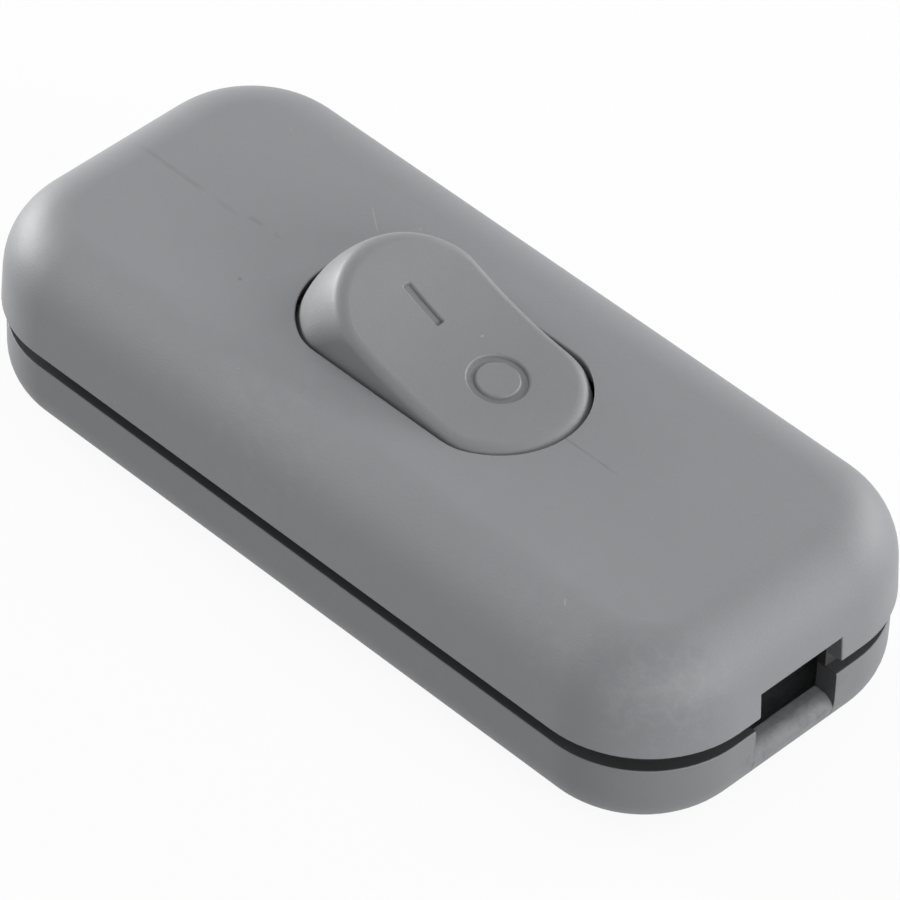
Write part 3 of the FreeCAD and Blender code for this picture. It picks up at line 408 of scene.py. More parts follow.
# Shader tools
class Flow:
    """Output of a node that takes part in sums."""

    def __init__(self, finish, socket):
        self.finish = finish
        self.socket = socket

    def math(self, operation, *values):
        """A Math node on values."""
        return self.finish.node("ShaderNodeMath", {"operation": operation}, dict(enumerate(values)))

    def __add__(self, other):
        return self.math("ADD", self, other)

    def __sub__(self, other):
        return self.math("SUBTRACT", self, other)

    def __rsub__(self, other):
        return self.math("SUBTRACT", other, self)

    def __mul__(self, other):
        return self.math("MULTIPLY", self, other)

    def __abs__(self):
        return self.math("ABSOLUTE", self)

    __radd__ = __add__
    __rmul__ = __mul__

    def over(self, low, high):
        """0 under a low value, 1 over a high one and a smooth rise between."""
        return self.finish.node("ShaderNodeMapRange", {"interpolation_type": "SMOOTHSTEP"},
                                {"Value": self, "From Min": low, "From Max": high})

    def below(self, low, high):
        """1 under a low value, 0 over a high one."""
        return 1 - self.over(low, high)

    def swing(self, gain):
        """Noise about 0.5 as a change about 0."""
        return (self - 0.5) * gain


class Finish:
    """Node tree of one material, with short ways to its common nodes."""

    def __init__(self, owner):
        owner.use_nodes = True
        self.owner = owner
        self.tree = owner.node_tree
        self.tree.nodes.clear()

    def node(self, kind, settings=None, sockets=None, output=0):
        """New node: its settings first, then values or links for its sockets."""
        node = self.tree.nodes.new(kind)
        for name, setting in (settings or {}).items():
            setattr(node, name, setting)
        for name, value in (sockets or {}).items():
            if isinstance(value, Flow):
                self.tree.links.new(value.socket, node.inputs[name])
            else:
                node.inputs[name].default_value = value
        return Flow(self, node.outputs[output]) if node.outputs else None

    def place(self):
        """Place on the piece, in metres."""
        return self.node("ShaderNodeTexCoord", output="Object")

    def axes(self):
        """X, Y and Z of the place."""
        split = self.node("ShaderNodeSeparateXYZ", None, {"Vector": self.place()})
        return [Flow(self, socket) for socket in split.socket.node.outputs]

    def noise(self, size, detail=2, roughness=0.5, distortion=0):
        """Noise about 0.5 whose patches are a size in metres across."""
        return self.node("ShaderNodeTexNoise", None, {
            "Vector": self.place(), "Scale": 1 / size, "Detail": detail,
            "Roughness": roughness, "Distortion": distortion})

    def shade(self, base, factor):
        """A colour made lighter or darker by a factor."""
        return self.node("ShaderNodeVectorMath", {"operation": "SCALE"},
                         {0: tuple(base), "Scale": factor})

    def bump(self, height, distance):
        """Normal of a relief."""
        return self.node("ShaderNodeBump", None, {"Height": height, "Distance": distance, "Strength": 1})

    def close(self, **sockets):
        """Principled shader with these sockets, as the material's surface."""
        names = {name.replace("_", " "): value for name, value in sockets.items()}
        shader = self.node("ShaderNodeBsdfPrincipled", None, names)
        self.node("ShaderNodeOutputMaterial", None, {"Surface": shader})
        return self.owner


def new_finish(name):
    """Empty node tree of a new material."""
    return Finish(bpy.data.materials.new(name))


# Moulded plastic: sizes of what varies over it, in metres
CLOUDS = 0.011
MOTTLE = 0.0016
SPECKLE = 0.00016
DUST = 0.00042
DUSTY_AREAS = 0.006
RELIEF = 0.00013
# How much of it shows in tone, gloss and relief, and the noise levels where dust begins
CLOUD_TONE, CLOUD_GLOSS = 0.07, 0.08
MOTTLE_TONE, MOTTLE_GLOSS, MOTTLE_RELIEF = 0.05, 0.10, 0.8
SPECKLE_TONE = 0.08
DUST_TONE, DUST_START, DUSTY_START = 0.25, (0.76, 0.82), (0.52, 0.62)
PLASTIC_IOR = 1.49


def plastic(name, base, grain, roughness, marks=None):
    """Satin moulded plastic with a fine spark-eroded grain."""
    finish = new_finish(name)
    cloud = finish.noise(CLOUDS, detail=3, distortion=0.6)
    mottle = finish.noise(MOTTLE, detail=4, roughness=0.6)
    speckle = finish.noise(SPECKLE, roughness=0.6)
    tone = 1 + cloud.swing(CLOUD_TONE) + mottle.swing(MOTTLE_TONE) + speckle.swing(SPECKLE_TONE)
    dust = finish.noise(DUST, detail=1).over(*DUST_START)
    tone = tone + dust * finish.noise(DUSTY_AREAS).over(*DUSTY_START) * DUST_TONE
    for mask, gain in marks(finish) if marks else ():
        tone = tone * (1 + mask * gain)
    relief = finish.noise(RELIEF, detail=3, roughness=0.65) + mottle * MOTTLE_RELIEF
    gloss = roughness + mottle.swing(MOTTLE_GLOSS) + cloud.swing(CLOUD_GLOSS)
    return finish.close(Base_Color=finish.shade(base, tone), Roughness=gloss,
                        Normal=finish.bump(relief, grain), IOR=PLASTIC_IOR)


# Where each mask begins and where it is full, or the other way round, in metres
FLAT_TOP = (0.0140, 0.0152)
GROOVE_FOOT, GROOVE_TOP = (0.00656, 0.00659), (0.0084, 0.0090)
CHEEK_INNER, CHEEK_OUTER = (0.0039, 0.00397), (0.00402, 0.00406)
CHEEK_START, CHEEK_TOP = (0.0325, 0.0328), (0.01025, 0.01032)
# Change of tone there: painted shade in the groove and on the outlets' cheeks
GROOVE_SHADE, LOWER_CHEEK_SHADE, UPPER_CHEEK_SHADE = -0.77, -0.65, -0.4

# Thin marks: start and end in X and Y, width, all in millimetres, and change of tone
FLOW_LINES = (
    ((-30.5, -0.5), (-20.8, -0.6), 0.28, -0.11),
    ((11.5, -0.15), (16.6, -0.15), 0.11, -0.22),
)
SCRATCHES = (
    ((-15.3, -5.1), (-15.15, -5.35), 0.2, -0.25),
    ((-19.6, -0.18), (-18.3, -0.05), 0.26, -0.13),
    ((-17.1, -0.1), (-16.5, -0.1), 0.2, -0.09),
    ((23.05, -11.3), (23.4, -11.67), 0.08, 0.35),
    ((-14.3, 6.95), (-12.3, 5.5), 0.07, 0.25),
    ((-10.4, 7.9), (-10.2, 7.8), 0.09, 0.25),
)
ROCKER_SPECKS = (((1.62, 2.04), (1.74, 2.04), 0.15, 0.6),)
# Patchy areas of painted sheen on the top and of painted shade on the near sill: middle and reach in
# millimetres, and change of tone
TOP_SHEEN_PATCHES = (
    ((32.2, -11.2, 13.0), 6.5, 0.12),
    ((24.0, -13.5, 14.2), 6.0, 0.05),
    ((-4.0, -13.5, 14.0), 9.0, 0.05),
    ((-33.0, -8.0, 12.0), 5.0, 0.08),
)
# Painted shade on the near sill, under the upper shell
SILL_SHADE_PATCHES = (((34.5, 0.0, 3.2), 7.0, -0.28),)
# Full share of a mark's width or reach, and share of a line's length over which it fades; then
# the breaks in a line and the patches in a painted area, each with its size in metres and noise levels
FULL_SHARE, FADE_SHARE = 0.35, 0.2
BREAKS, BREAK_LEVELS = 0.004, (0.32, 0.50)
PATCHES, PATCH_LEVELS = 0.0011, (0.42, 0.68)


def thin_lines(finish, lines):
    """Mask of each thin line, seen from above, with its change of tone."""
    x, y, _ = finish.axes()
    masks = []
    for first, second, width, gain in lines:
        start = Vector(first) * MM
        way = Vector(second) * MM - start
        reach = way.length
        fade = reach * FADE_SHARE
        way.normalize()
        along = (x - start.x) * way.x + (y - start.y) * way.y
        across = abs((x - start.x) * way.y - (y - start.y) * way.x)
        on_line = across.below(width * MM * FULL_SHARE, width * MM)
        masks.append((on_line * along.over(-fade, fade) * along.below(reach - fade, reach + fade), gain))
    return masks


def sheen_and_shade_patches(finish, areas):
    """Mask of each patchy area of painted sheen or painted shade, with its change of tone."""
    patches = finish.noise(PATCHES, detail=5, roughness=0.65).over(*PATCH_LEVELS)
    masks = []
    for middle, reach, gain in areas:
        away = finish.node("ShaderNodeVectorMath", {"operation": "DISTANCE"},
                           {0: finish.place(), 1: tuple(Vector(middle) * MM)}, output="Value")
        masks.append((away.below(reach * MM * FULL_SHARE, reach * MM) * patches, gain))
    return masks


def outlet_shade(finish):
    """Mask of painted shade on the cheeks of the cord outlets."""
    x, y, z = finish.axes()
    cheek = abs(y).over(*CHEEK_INNER) * abs(y).below(*CHEEK_OUTER)
    return cheek * abs(x).over(*CHEEK_START) * z.below(*CHEEK_TOP)


def lower_painted_shade(finish):
    """Painted shade in the groove, on the cheeks of the outlets and on the near sill of the lower shell."""
    height = finish.axes()[2]
    # Painted shade: the groove between the shells is darkened
    groove = height.over(*GROOVE_FOOT) * height.below(*GROOVE_TOP)
    return [(groove, GROOVE_SHADE), (outlet_shade(finish), LOWER_CHEEK_SHADE), *sheen_and_shade_patches(finish, SILL_SHADE_PATCHES)]


def top_marks(finish):
    """Broken flow lines and scratches of the upper shell, patches of painted sheen, and painted shade on
    its outlets' cheeks.
    """
    broken = finish.axes()[2].over(*FLAT_TOP) * finish.noise(BREAKS, detail=3).over(*BREAK_LEVELS)
    flow = [(mask * broken, gain) for mask, gain in thin_lines(finish, FLOW_LINES)]
    return [*flow, *thin_lines(finish, SCRATCHES), *sheen_and_shade_patches(finish, TOP_SHEEN_PATCHES),
            (outlet_shade(finish), UPPER_CHEEK_SHADE)]


def rocker_marks(finish):
    """Dust on the finger face."""
    return thin_lines(finish, ROCKER_SPECKS)


# Drawn metal: length and width of its lines and size of its tarnish, in metres, and how much of
# them shows in tone and gloss
DRAWN_LINES = (0.004, 0.0002, 0.0002)
TARNISH = 0.0022
DRAWN_TONE, TARNISH_TONE, TARNISH_GLOSS = 0.12, 0.3, 0.2


def metal(name, base, grain, roughness):
    """Bright metal with fine drawn lines and a little tarnish."""
    finish = new_finish(name)
    lines = finish.node("ShaderNodeMapping", None,
                        {"Vector": finish.place(), "Scale": [1 / size for size in DRAWN_LINES]})
    drawn = finish.node("ShaderNodeTexNoise", None, {"Vector": lines, "Scale": 1, "Detail": 2})
    tarnish = finish.noise(TARNISH, detail=4)
    tone = 1 + tarnish.swing(TARNISH_TONE) + drawn.swing(DRAWN_TONE)
    return finish.close(Base_Color=finish.shade(base, tone), Metallic=1.0,
                        Roughness=roughness + tarnish.swing(TARNISH_GLOSS),
                        Normal=finish.bump(drawn, grain))


# Pieces
def drafted(s, bottom, radius, top):
    """Inset and height up a leaning wall and over its soft edge."""
    middle = top - radius
    start = middle + radius * math.sin(s.draft)
    inward = bottom + (start - s.parting) * math.tan(s.draft) + radius * math.cos(s.draft)
    return arc((inward, middle), radius, 180 - math.degrees(s.draft), 90, s.edge_steps)


def shell(s, profile):
    """Solid whose rings have the housing's plan, each with its inset and height."""
    return skin([level(round_plan(s.length, s.width, s.corner, inset, s.corner_steps), height)
                 for inset, height in profile])[0]


def outline_points(r, inset):
    """Half outline of the rocker: distance from the axis and place along it, round one end."""
    arm = r.end_radius - r.side_blend
    rise = r.half_width - r.side_blend
    run = math.sqrt(arm * arm - rise * rise)
    joint = math.degrees(math.atan2(rise, run))
    middle = r.reach - r.end_radius
    blend = arc((middle + run, -rise), r.side_blend - inset, -90, -joint, r.blend_steps)[:-1]
    end = arc((middle, 0), r.end_radius - inset, -joint, joint, r.end_steps)
    return blend + end + [Vector((away, -along)) for away, along in reversed(blend)]


def opening_plan(r, inset, height):
    """The rocker's outline where a level plane cuts its swept sides."""
    half = [Vector((math.sqrt(away * away - height * height), along))
            for away, along in outline_points(r, inset)]
    return half + [-point for point in half]


def top_of_rocker(r, x):
    """Height of the finger faces above the axis."""
    joint = r.dish_radius * math.sin(r.wing_angle)
    if abs(x) >= joint:
        return r.middle_height + abs(x) * math.tan(r.wing_angle)
    middle = r.middle_height + r.dish_radius / math.cos(r.wing_angle)
    return middle - math.sqrt(r.dish_radius ** 2 - x * x)


def where_faces_reach(r, away, drop):
    """Place along the rocker where a lowered finger face is a given distance from the axis."""
    low, high = 0, away
    for _ in range(HALVINGS):
        middle = (low + high) / 2
        if math.hypot(middle, top_of_rocker(r, middle) - drop) < away:
            low = middle
        else:
            high = middle
    return low


def rocker_rim(r, inset, drop):
    """Ring where the outline, drawn inwards, meets the finger faces, lowered by a drop."""
    end = []
    for away, along in outline_points(r, inset):
        x = where_faces_reach(r, away, drop)
        end.append(Vector((x, along, top_of_rocker(r, x) - drop)))
    places = [end[0].x * (1 - 2 * step / r.dish_steps) for step in range(1, r.dish_steps)]
    side = r.half_width - inset
    far = [Vector((x, side, top_of_rocker(r, x) - drop)) for x in places]
    return end + far + [Vector((-v.x, -v.y, v.z)) for v in end + far]


def rocker_row(r, rim, share):
    """The rim carried down the sides, all the way at a share of 1."""
    row = []
    for point in rim:
        if abs(point.x) < rim[0].x - MERGE:
            row.append(Vector((point.x, point.y, point.z + (-r.skirt - point.z) * share)))
            continue
        away = math.hypot(point.x, point.z)
        start = math.atan2(abs(point.x), point.z)
        turn = start + (math.acos(-r.skirt / away) - start) * share
        row.append(Vector((math.copysign(away * math.sin(turn), point.x), point.y, away * math.cos(turn))))
    return row


def rocker_body(r):
    """The rocker without its pins and marks."""
    rim = rocker_rim(r, 0, r.edge)
    rings = [rocker_row(r, rim, 1 - step / r.wall_steps) for step in range(r.wall_steps + 1)]
    edge = arc((r.edge, r.edge), r.edge, 180, 270, r.edge_steps)[1:]
    rings += [rocker_rim(r, inset, drop) for inset, drop in edge]
    bm, verts = skin(rings)
    half = len(verts) // 2
    first = half - (r.dish_steps - 1)
    pairs = [(verts[first + step], verts[-1 - step]) for step in range(r.dish_steps - 1)]
    for start in (0, half):
        pairs += [(verts[start + step], verts[start + first - 1 - step]) for step in range(first // 2)]
    for pair in pairs:
        face = next(face for face in pair[0].link_faces if pair[1] in face.verts)
        if len(face.verts) > 3:
            bmesh.utils.face_split(face, *pair)
    bmesh.ops.recalc_face_normals(bm, faces=bm.faces[:])
    return bm


def mark_sides(r):
    """Outset and height of a mark's sides, from its floor to above the face."""
    brink = r.mark_lean + r.mark_soft
    rounding = arc((brink, -r.mark_soft), r.mark_soft, 180, 90, MARK_STEPS)[:-1]
    return [(0, -r.mark_depth), *rounding, (brink, CLEAR)]


def bar_cutter(r):
    """Cutter of the on mark, split along its length so that it can be bent."""
    bm = tower([(round_plan(r.bar_length, r.bar_width, r.bar_corner, -outset, BAR_CORNER_STEPS), height)
                for outset, height in mark_sides(r)])
    for step in range(1, BAR_STEPS):
        place = r.bar_length * (step / BAR_STEPS - 0.5)
        bmesh.ops.bisect_plane(bm, geom=bm.verts[:] + bm.edges[:] + bm.faces[:], plane_co=(place, 0, 0),
                               plane_no=(1, 0, 0))
    return bm


def ring_cutter(r):
    """Cutter of the off mark, spun from its section."""
    bm = bmesh.new()
    sides = mark_sides(r)
    inner = r.ring_outer - r.ring_width
    section = [(r.ring_outer + outset, height) for outset, height in sides]
    section += [(inner - outset, height) for outset, height in reversed(sides)]
    verts = [bm.verts.new((away, 0, height)) for away, height in section]
    for number, vert in enumerate(verts):
        bm.edges.new((vert, verts[(number + 1) % len(verts)]))
    bmesh.ops.spin(bm, geom=bm.verts[:] + bm.edges[:], cent=(0, 0, 0), axis=(0, 0, 1),
                   angle=2 * math.pi, steps=RING_STEPS, use_merge=True)
    bmesh.ops.recalc_face_normals(bm, faces=bm.faces[:])
    return bm


def drape(r, solid, x):
    """Moves a cutter to its place and lays it along the finger faces."""
    for vert in solid.verts:
        vert.co.x += x
        vert.co.y += r.mark_shift
        vert.co.z += top_of_rocker(r, vert.co.x)
    return solid


def rocker_place(r):
    """Where the rocker stands at rest, in millimetres."""
    return Matrix.Translation((0, 0, r.pivot)) @ Matrix.Rotation(r.throw, 4, "Y")


def both_ends(plan):
    """A plan and its mirror image at the other end."""
    return plan, [Vector((-point.x, point.y)) for point in reversed(plan)]


def both_sides(plan):
    """A plan and its mirror image across the middle."""
    return plan, [Vector((point.x, -point.y)) for point in reversed(plan)]


def screw_places(s):
    """The housing screws, one near each end on opposite sides."""
    return (s.screw_x, -s.screw_y), (-s.screw_x, s.screw_y)


def posts(radius, places, bottom, top, steps=CIRCLE_STEPS):
    """Upright round solids at their places."""
    return [prism(circle_plan(radius, x, y, steps), bottom, top) for x, y in places]


def soften_outlets(piece, s, inward, lowest):
    """Rounds the edges of the outlets, from inside the end walls outwards and above a level."""
    reach = s.length / 2 - inward
    side = s.outlet / 2 + s.soft
    soften(piece, s.soft, s.soft_steps, lambda edge: all(
        abs(v.co.x) > reach and abs(v.co.y) < side and v.co.z > lowest for v in edge.verts))


# Cutter of the rocker's opening: its depth in walls, its levels and the angles of its soft edge
OPENING_DEPTH = 1.6
OPENING_STEPS = 6
FLARE_ANGLES = (30, 60, 80)


class SWITCH_OT_upper_shell(bpy.types.Operator):
    """Upper shell with the rocker's opening and half of each cord outlet"""
    bl_idname = "cord_switch.upper_shell"
    bl_label = "Upper shell"

    def execute(self, context):
        s, r = in_mm(context, "housing"), in_mm(context, "rocker")
        outer = drafted(s, 0, s.top_radius, s.height)
        inner = drafted(s, s.wall, s.top_radius - s.wall, s.height - s.wall)
        outer_edge = arc((s.soft, s.parting + s.soft), s.soft, 180, 270, s.soft_steps)
        inner_edge = arc((s.wall - s.soft, s.parting + s.soft), s.soft, -90, 0, s.soft_steps)
        profile = [*reversed(outer), *outer_edge, *inner_edge, *inner]
        piece = to_object("upper_cover", [shell(s, profile)])

        rise = s.height - r.pivot
        depth = s.wall * OPENING_DEPTH
        levels = [(0, rise - depth + (depth - s.soft) * step / OPENING_STEPS)
                  for step in range(OPENING_STEPS + 1)]
        for degrees in FLARE_ANGLES:
            turn = math.radians(degrees)
            levels.append((s.soft * (1 - math.cos(turn)), rise - s.soft * (1 - math.sin(turn))))
        opening = [(opening_plan(r, -r.gap - flare, height), height + r.pivot) for flare, height in levels]
        opening.append((opening_plan(r, -r.gap - s.soft, rise), s.height + s.wall))

        cheek_inner = r.half_width + r.gap
        cheek = box_plan(-s.cheek_half, s.cheek_half, cheek_inner, cheek_inner + s.cheek)
        cheeks = [prism(plan, s.cheek_bottom, s.height - s.wall / 2) for plan in both_sides(cheek)]
        bosses = posts(s.boss, screw_places(s), s.boss_split, s.height - s.wall / 2)
        pilots = posts(s.pilot, screw_places(s), s.boss_split - s.wall, s.pilot_top)
        pins = sideways(circle_plan(r.pin + r.pin_gap, 0, r.pivot), -s.width / 3, s.width / 3)
        outlet = box_plan(s.length / 2 - 2 * s.wall, s.length / 2 + s.wall, -s.outlet / 2, s.outlet / 2)
        outlets = [prism(plan, s.parting - s.wall, s.outlet_top) for plan in both_ends(outlet)]
        combine(piece, (("DIFFERENCE", [tower(opening)]), ("UNION", cheeks + bosses),
                        ("DIFFERENCE", [pins, *pilots, *outlets])))
        soften_outlets(piece, s, s.wall / 2, 0)
        finish_piece(piece, "housing", "housing_grey", "upper_shell")
        return {"FINISHED"}


class SWITCH_OT_lower_shell(bpy.types.Operator):
    """Lower shell with its lip, sills, ribs and counterbores"""
    bl_idname = "cord_switch.lower_shell"
    bl_label = "Lower shell"

    def execute(self, context):
        s = in_mm(context, "housing")
        lip_outer = s.wall + s.lip_gap
        lip_inner = lip_outer + s.lip
        bottom = s.inset + s.bottom_radius
        profile = [
            *arc((bottom, s.bottom_radius), s.bottom_radius, 270, 180, s.edge_steps),
            *arc((s.inset + s.soft, s.rim - s.soft), s.soft, 180, 90, s.soft_steps),
            (lip_outer, s.rim),
            *arc((lip_outer + s.soft, s.lip_top - s.soft), s.soft, 180, 90, s.soft_steps),
            *arc((lip_inner - s.soft, s.lip_top - s.soft), s.soft, 90, 0, s.soft_steps),
            (lip_inner, s.floor),
        ]
        piece = to_object("lower_cover", [shell(s, profile)])

        root = s.floor / 2
        foot = box_plan(s.clamp_x - s.clamp_length / 2, s.clamp_x + s.clamp_length / 2,
                        s.clamp_inner, s.clamp_half)
        strip = box_plan(s.strip_rib_start, s.strip_rib_end, s.strip_rib_inner, s.strip_rib_inner + s.rib)
        wall_face = s.width / 2 - lip_inner + s.lip / 2
        bay = [Vector(point) for point in (
            (s.bay_open, s.bay_inner - s.rib), (s.bay_end + s.rib, s.bay_inner - s.rib),
            (s.bay_end + s.rib, wall_face), (s.bay_end, wall_face),
            (s.bay_end, s.bay_inner), (s.bay_open, s.bay_inner))]
        ribs = [prism(side, root, top)
                for plan, top in ((foot, s.clamp_seat), (strip, s.strip_rib_top), (bay, s.bay_top))
                for end in both_ends(plan) for side in both_sides(end)]
        ribs += posts(s.foot, screw_places(s), root, s.foot_height)
        cradle = box_plan(s.clamp_x - s.cradle_length / 2, s.clamp_x + s.cradle_length / 2,
                          -s.clamp_inner - s.rib, s.clamp_inner + s.rib)
        tall = [prism(plan, root, s.cradle) for plan in both_ends(cradle)]
        tall += posts(s.boss, screw_places(s), root, s.boss_split)

        inside = s.length / 2 - lip_inner - s.lip
        face = s.length / 2 - s.inset
        beyond = s.length / 2 + s.wall
        sill = [Vector((inside, s.outlet_floor)),
                *arc((face - s.sill, s.outlet_floor - s.sill), s.sill, 90, 0, SILL_STEPS),
                Vector((beyond, s.outlet_floor - s.sill)), Vector((beyond, s.height)),
                Vector((inside, s.height))]
        cuts = [sideways(plan, -s.outlet / 2, s.outlet / 2) for plan in both_ends(sill)]
        pilots = [(x, y) for x in (s.clamp_x, -s.clamp_x) for y in (s.clamp_screw, -s.clamp_screw)]
        cuts += posts(s.clamp_pilot, pilots, s.floor, s.clamp_seat + s.wall, PILOT_STEPS)
        mouth = ((s.counterbore + s.soft, -s.wall), (s.counterbore + s.soft, 0),
                 (s.counterbore, s.soft), (s.counterbore, s.counterbore_depth))
        cuts += [tower([(circle_plan(radius, x, y), height) for radius, height in mouth])
                 for x, y in screw_places(s)]
        holes = posts(s.shank_hole, screw_places(s), s.soft, s.boss_split + s.wall)
        combine(piece, (("UNION", ribs), ("UNION", tall), ("DIFFERENCE", cuts), ("DIFFERENCE", holes)))
        soften_outlets(piece, s, lip_outer, s.outlet_floor - s.sill - s.soft)
        finish_piece(piece, "housing", "lower_grey", "lower_shell")
        return {"FINISHED"}


class SWITCH_OT_rocker(bpy.types.Operator):
    """Rocker with its hollow finger faces, engraved marks, pins and plunger boss"""
    bl_idname = "cord_switch.rocker"
    bl_label = "Rocker"

    def execute(self, context):
        r = in_mm(context, "rocker")
        piece = to_object("rocker_cap", [rocker_body(r)])
        marks = [drape(r, bar_cutter(r), r.bar_place), drape(r, ring_cutter(r), r.ring_place)]
        hollow = box_plan(r.hollow_inner, r.hollow_outer, -r.hollow_half, r.hollow_half)
        hollows = [prism(plan, -r.skirt - OVERLAP, r.hollow_top) for plan in both_ends(hollow)]
        chamfer = r.pin / 8
        pin = ((r.half_width - OVERLAP, r.pin), (r.pin_end - chamfer, r.pin), (r.pin_end, r.pin - chamfer))
        pins = [skin([[Vector((v.x, side * along, v.y)) for v in circle_plan(radius)]
                      for along, radius in pin])[0] for side in (1, -1)]
        boss = prism(circle_plan(r.boss), -r.boss_drop, OVERLAP)
        bore = prism(circle_plan(r.bore), -r.boss_drop - OVERLAP, r.bore_top)
        combine(piece, (("DIFFERENCE", marks), ("DIFFERENCE", hollows), ("UNION", [*pins, boss]),
                        ("DIFFERENCE", [bore])))
        finish_piece(piece, "rocker", "rocker_grey", "rocker", rocker_place(r))
        return {"FINISHED"}


class SWITCH_OT_coil_spring(bpy.types.Operator):
    """Coil spring that the plunger presses into its bore"""
    bl_idname = "cord_switch.coil_spring"
    bl_label = "Coil spring"

    def execute(self, context):
        r = in_mm(context, "rocker")
        bm = bmesh.new()
        start = Vector((r.spring_reach, 0, r.bore_top - r.spring_length + r.spring_wire))
        section = Matrix.Translation(start) @ Matrix.Rotation(math.pi / 2, 4, "X")
        bmesh.ops.create_circle(bm, segments=WIRE_STEPS, radius=r.spring_wire / 2, matrix=section)
        steps = COIL_STEPS * r.spring_turns
        rise = (r.spring_length - 2 * r.spring_wire) / steps
        bmesh.ops.spin(bm, geom=bm.verts[:] + bm.edges[:], cent=(0, 0, 0), axis=(0, 0, 1),
                       dvec=(0, 0, rise), angle=2 * math.pi * r.spring_turns, steps=steps)
        bmesh.ops.holes_fill(bm, edges=[edge for edge in bm.edges if edge.is_boundary])
        piece = to_object("coil_spring", [bm])
        place = rocker_place(r)
        finish_piece(piece, "rocker", "screw_steel", "rocker_spring", place)
        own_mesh(piece)
        return {"FINISHED"}


# Housing screws: shares of the head's radius and height in its dome, its edge in millimetres, the
# thread's crest in its pitch, the tip in the shank, and the recess at its mouth and floor
HEAD_RINGS, HEAD_DOME = (0.15, 0.4, 0.62, 0.8, 0.92, 1), 0.45
HEAD_EDGE = 0.08
CREST_START, CREST_END = 0.4, 0.5
TIP_SHARE = 0.4
RECESS_MOUTH, RECESS_FLOOR = 1.15, 0.55


class SWITCH_OT_housing_screws(bpy.types.Operator):
    """The two housing screws, with a cross recess and a coarse thread"""
    bl_idname = "cord_switch.housing_screws"
    bl_label = "Housing screws"

    def execute(self, context):
        s, k = in_mm(context, "housing"), in_mm(context, "screws")
        bottom = k.seat - k.head_height
        sections = [(k.head * share, bottom + k.head_height * HEAD_DOME * share ** 3)
                    for share in HEAD_RINGS]
        sections += [(k.head, k.seat - HEAD_EDGE), (k.head - HEAD_EDGE, k.seat), (k.shank, k.seat)]
        height = k.seat + k.pitch / 2
        while height < k.tip - 1.5 * k.pitch:
            sections += [(k.shank - k.thread, height), (k.shank, height + k.pitch * CREST_START),
                         (k.shank, height + k.pitch * CREST_END)]
            height += k.pitch
        sections += [(k.shank - k.thread, height), (k.shank * TIP_SHARE, k.tip)]
        screws = [tower([(circle_plan(radius, x, y), z) for radius, z in sections])
                  for x, y in screw_places(s)]
        recess = ((RECESS_MOUTH, bottom - CLEAR), (RECESS_FLOOR, bottom + k.recess_depth))
        arms = [[tower([(box_plan(x - along * share, x + along * share,
                                  y - across * share, y + across * share), z) for share, z in recess])
                 for x, y in screw_places(s)]
                for along, across in ((k.recess, k.recess_arm / 2), (k.recess_arm / 2, k.recess))]
        piece = to_object("housing_screw_pair", screws)
        combine(piece, [("DIFFERENCE", cutters) for cutters in arms])
        finish_piece(piece, "housing", "screw_steel", "housing_screws")
        return {"FINISHED"}


# Depth of the outer pieces' grain, in metres
SHELL_GRAIN = 0.000022


class SWITCH_OT_finishes(bpy.types.Operator):
    """Plastics and metals, and the finish of each part that keeps its frame mesh"""
    bl_idname = "cord_switch.finishes"
    bl_label = "Finishes"

    def execute(self, context):
        c = context.scene.cord_switch_colours
        plastic("housing_grey", c.housing, grain=SHELL_GRAIN, roughness=0.50, marks=top_marks)
        # The lower shell's darker grey is painted shade on the same plastic as the upper shell
        plastic("lower_grey", c.lower, grain=SHELL_GRAIN, roughness=0.50, marks=lower_painted_shade)
        plastic("rocker_grey", c.rocker, grain=SHELL_GRAIN, roughness=0.46, marks=rocker_marks)
        clamp = plastic("clamp_grey", c.clamp, grain=0.00003, roughness=0.5)
        plunger = plastic("plunger_white", c.plunger, grain=0.00001, roughness=0.4)
        brass = metal("terminal_brass", c.brass, grain=0.00001, roughness=0.32)
        silver = metal("contact_silver", c.silver, grain=0.000005, roughness=0.25)
        steel = metal("screw_steel", c.steel, grain=0.000008, roughness=0.34)
        finishes = {
            clamp: ("near_cord_clamp", "far_cord_clamp"),
            plunger: ("rocker_plunger",),
            brass: ("contact_blade", "fulcrum_terminal", "contact_terminal", "neutral_terminal",
                    "earth_terminal"),
            silver: ("moving_contact", "fixed_contact"),
            steel: ("fulcrum_terminal_screw", "contact_terminal_screw", "neutral_terminal_screws",
                    "earth_terminal_screws", "near_clamp_screws", "far_clamp_screws"),
        }
        for material, names in finishes.items():
            for name in names:
                slots = frame["nodes"][name].data.materials
                slots.clear()
                slots.append(material)
        return {"FINISHED"}


# Camera: its place, the way back from the view, the roll of the view, its lens and film in
# millimetres and the nearest thing that it sees in metres
CAMERA_PLACE = Vector((0.25561, -0.26561, 0.35134))
CAMERA_BACK = Vector((0.5055, -0.5272, 0.68303))
CAMERA_ROLL = math.radians(2.15)
CAMERA_LENS, CAMERA_FILM = 285.06, 36
CAMERA_NEAREST = 0.01

# Soft boxes: name, place, size and power. All point at the switch.
SOFT_BOXES = (
    ("overhead_box", (0.0, 0.05, 0.80), (0.8, 0.8), 1.1),
    ("left_box", (-0.83, -0.07, 0.18), (0.50, 0.30), 8.5),
    ("right_box", (0.81, 0.03, 0.26), (0.50, 0.30), 3.4),
    ("back_box", (0.21, 0.79, 0.23), (0.70, 0.35), 4.4),
    ("front_box", (0.62, -0.44, 0.40), (0.50, 0.40), 0.9),
)
# Floor: half its side, its gap under the switch, and the share and strength of its own light
FLOOR_HALF, FLOOR_GAP = 3, 0.00002
FLOOR_GLOW, GLOW_STRENGTH = 0.85, 1.08
# Strength of the sky's light, which the camera sees at 1
SKY_STRENGTH = 0.30


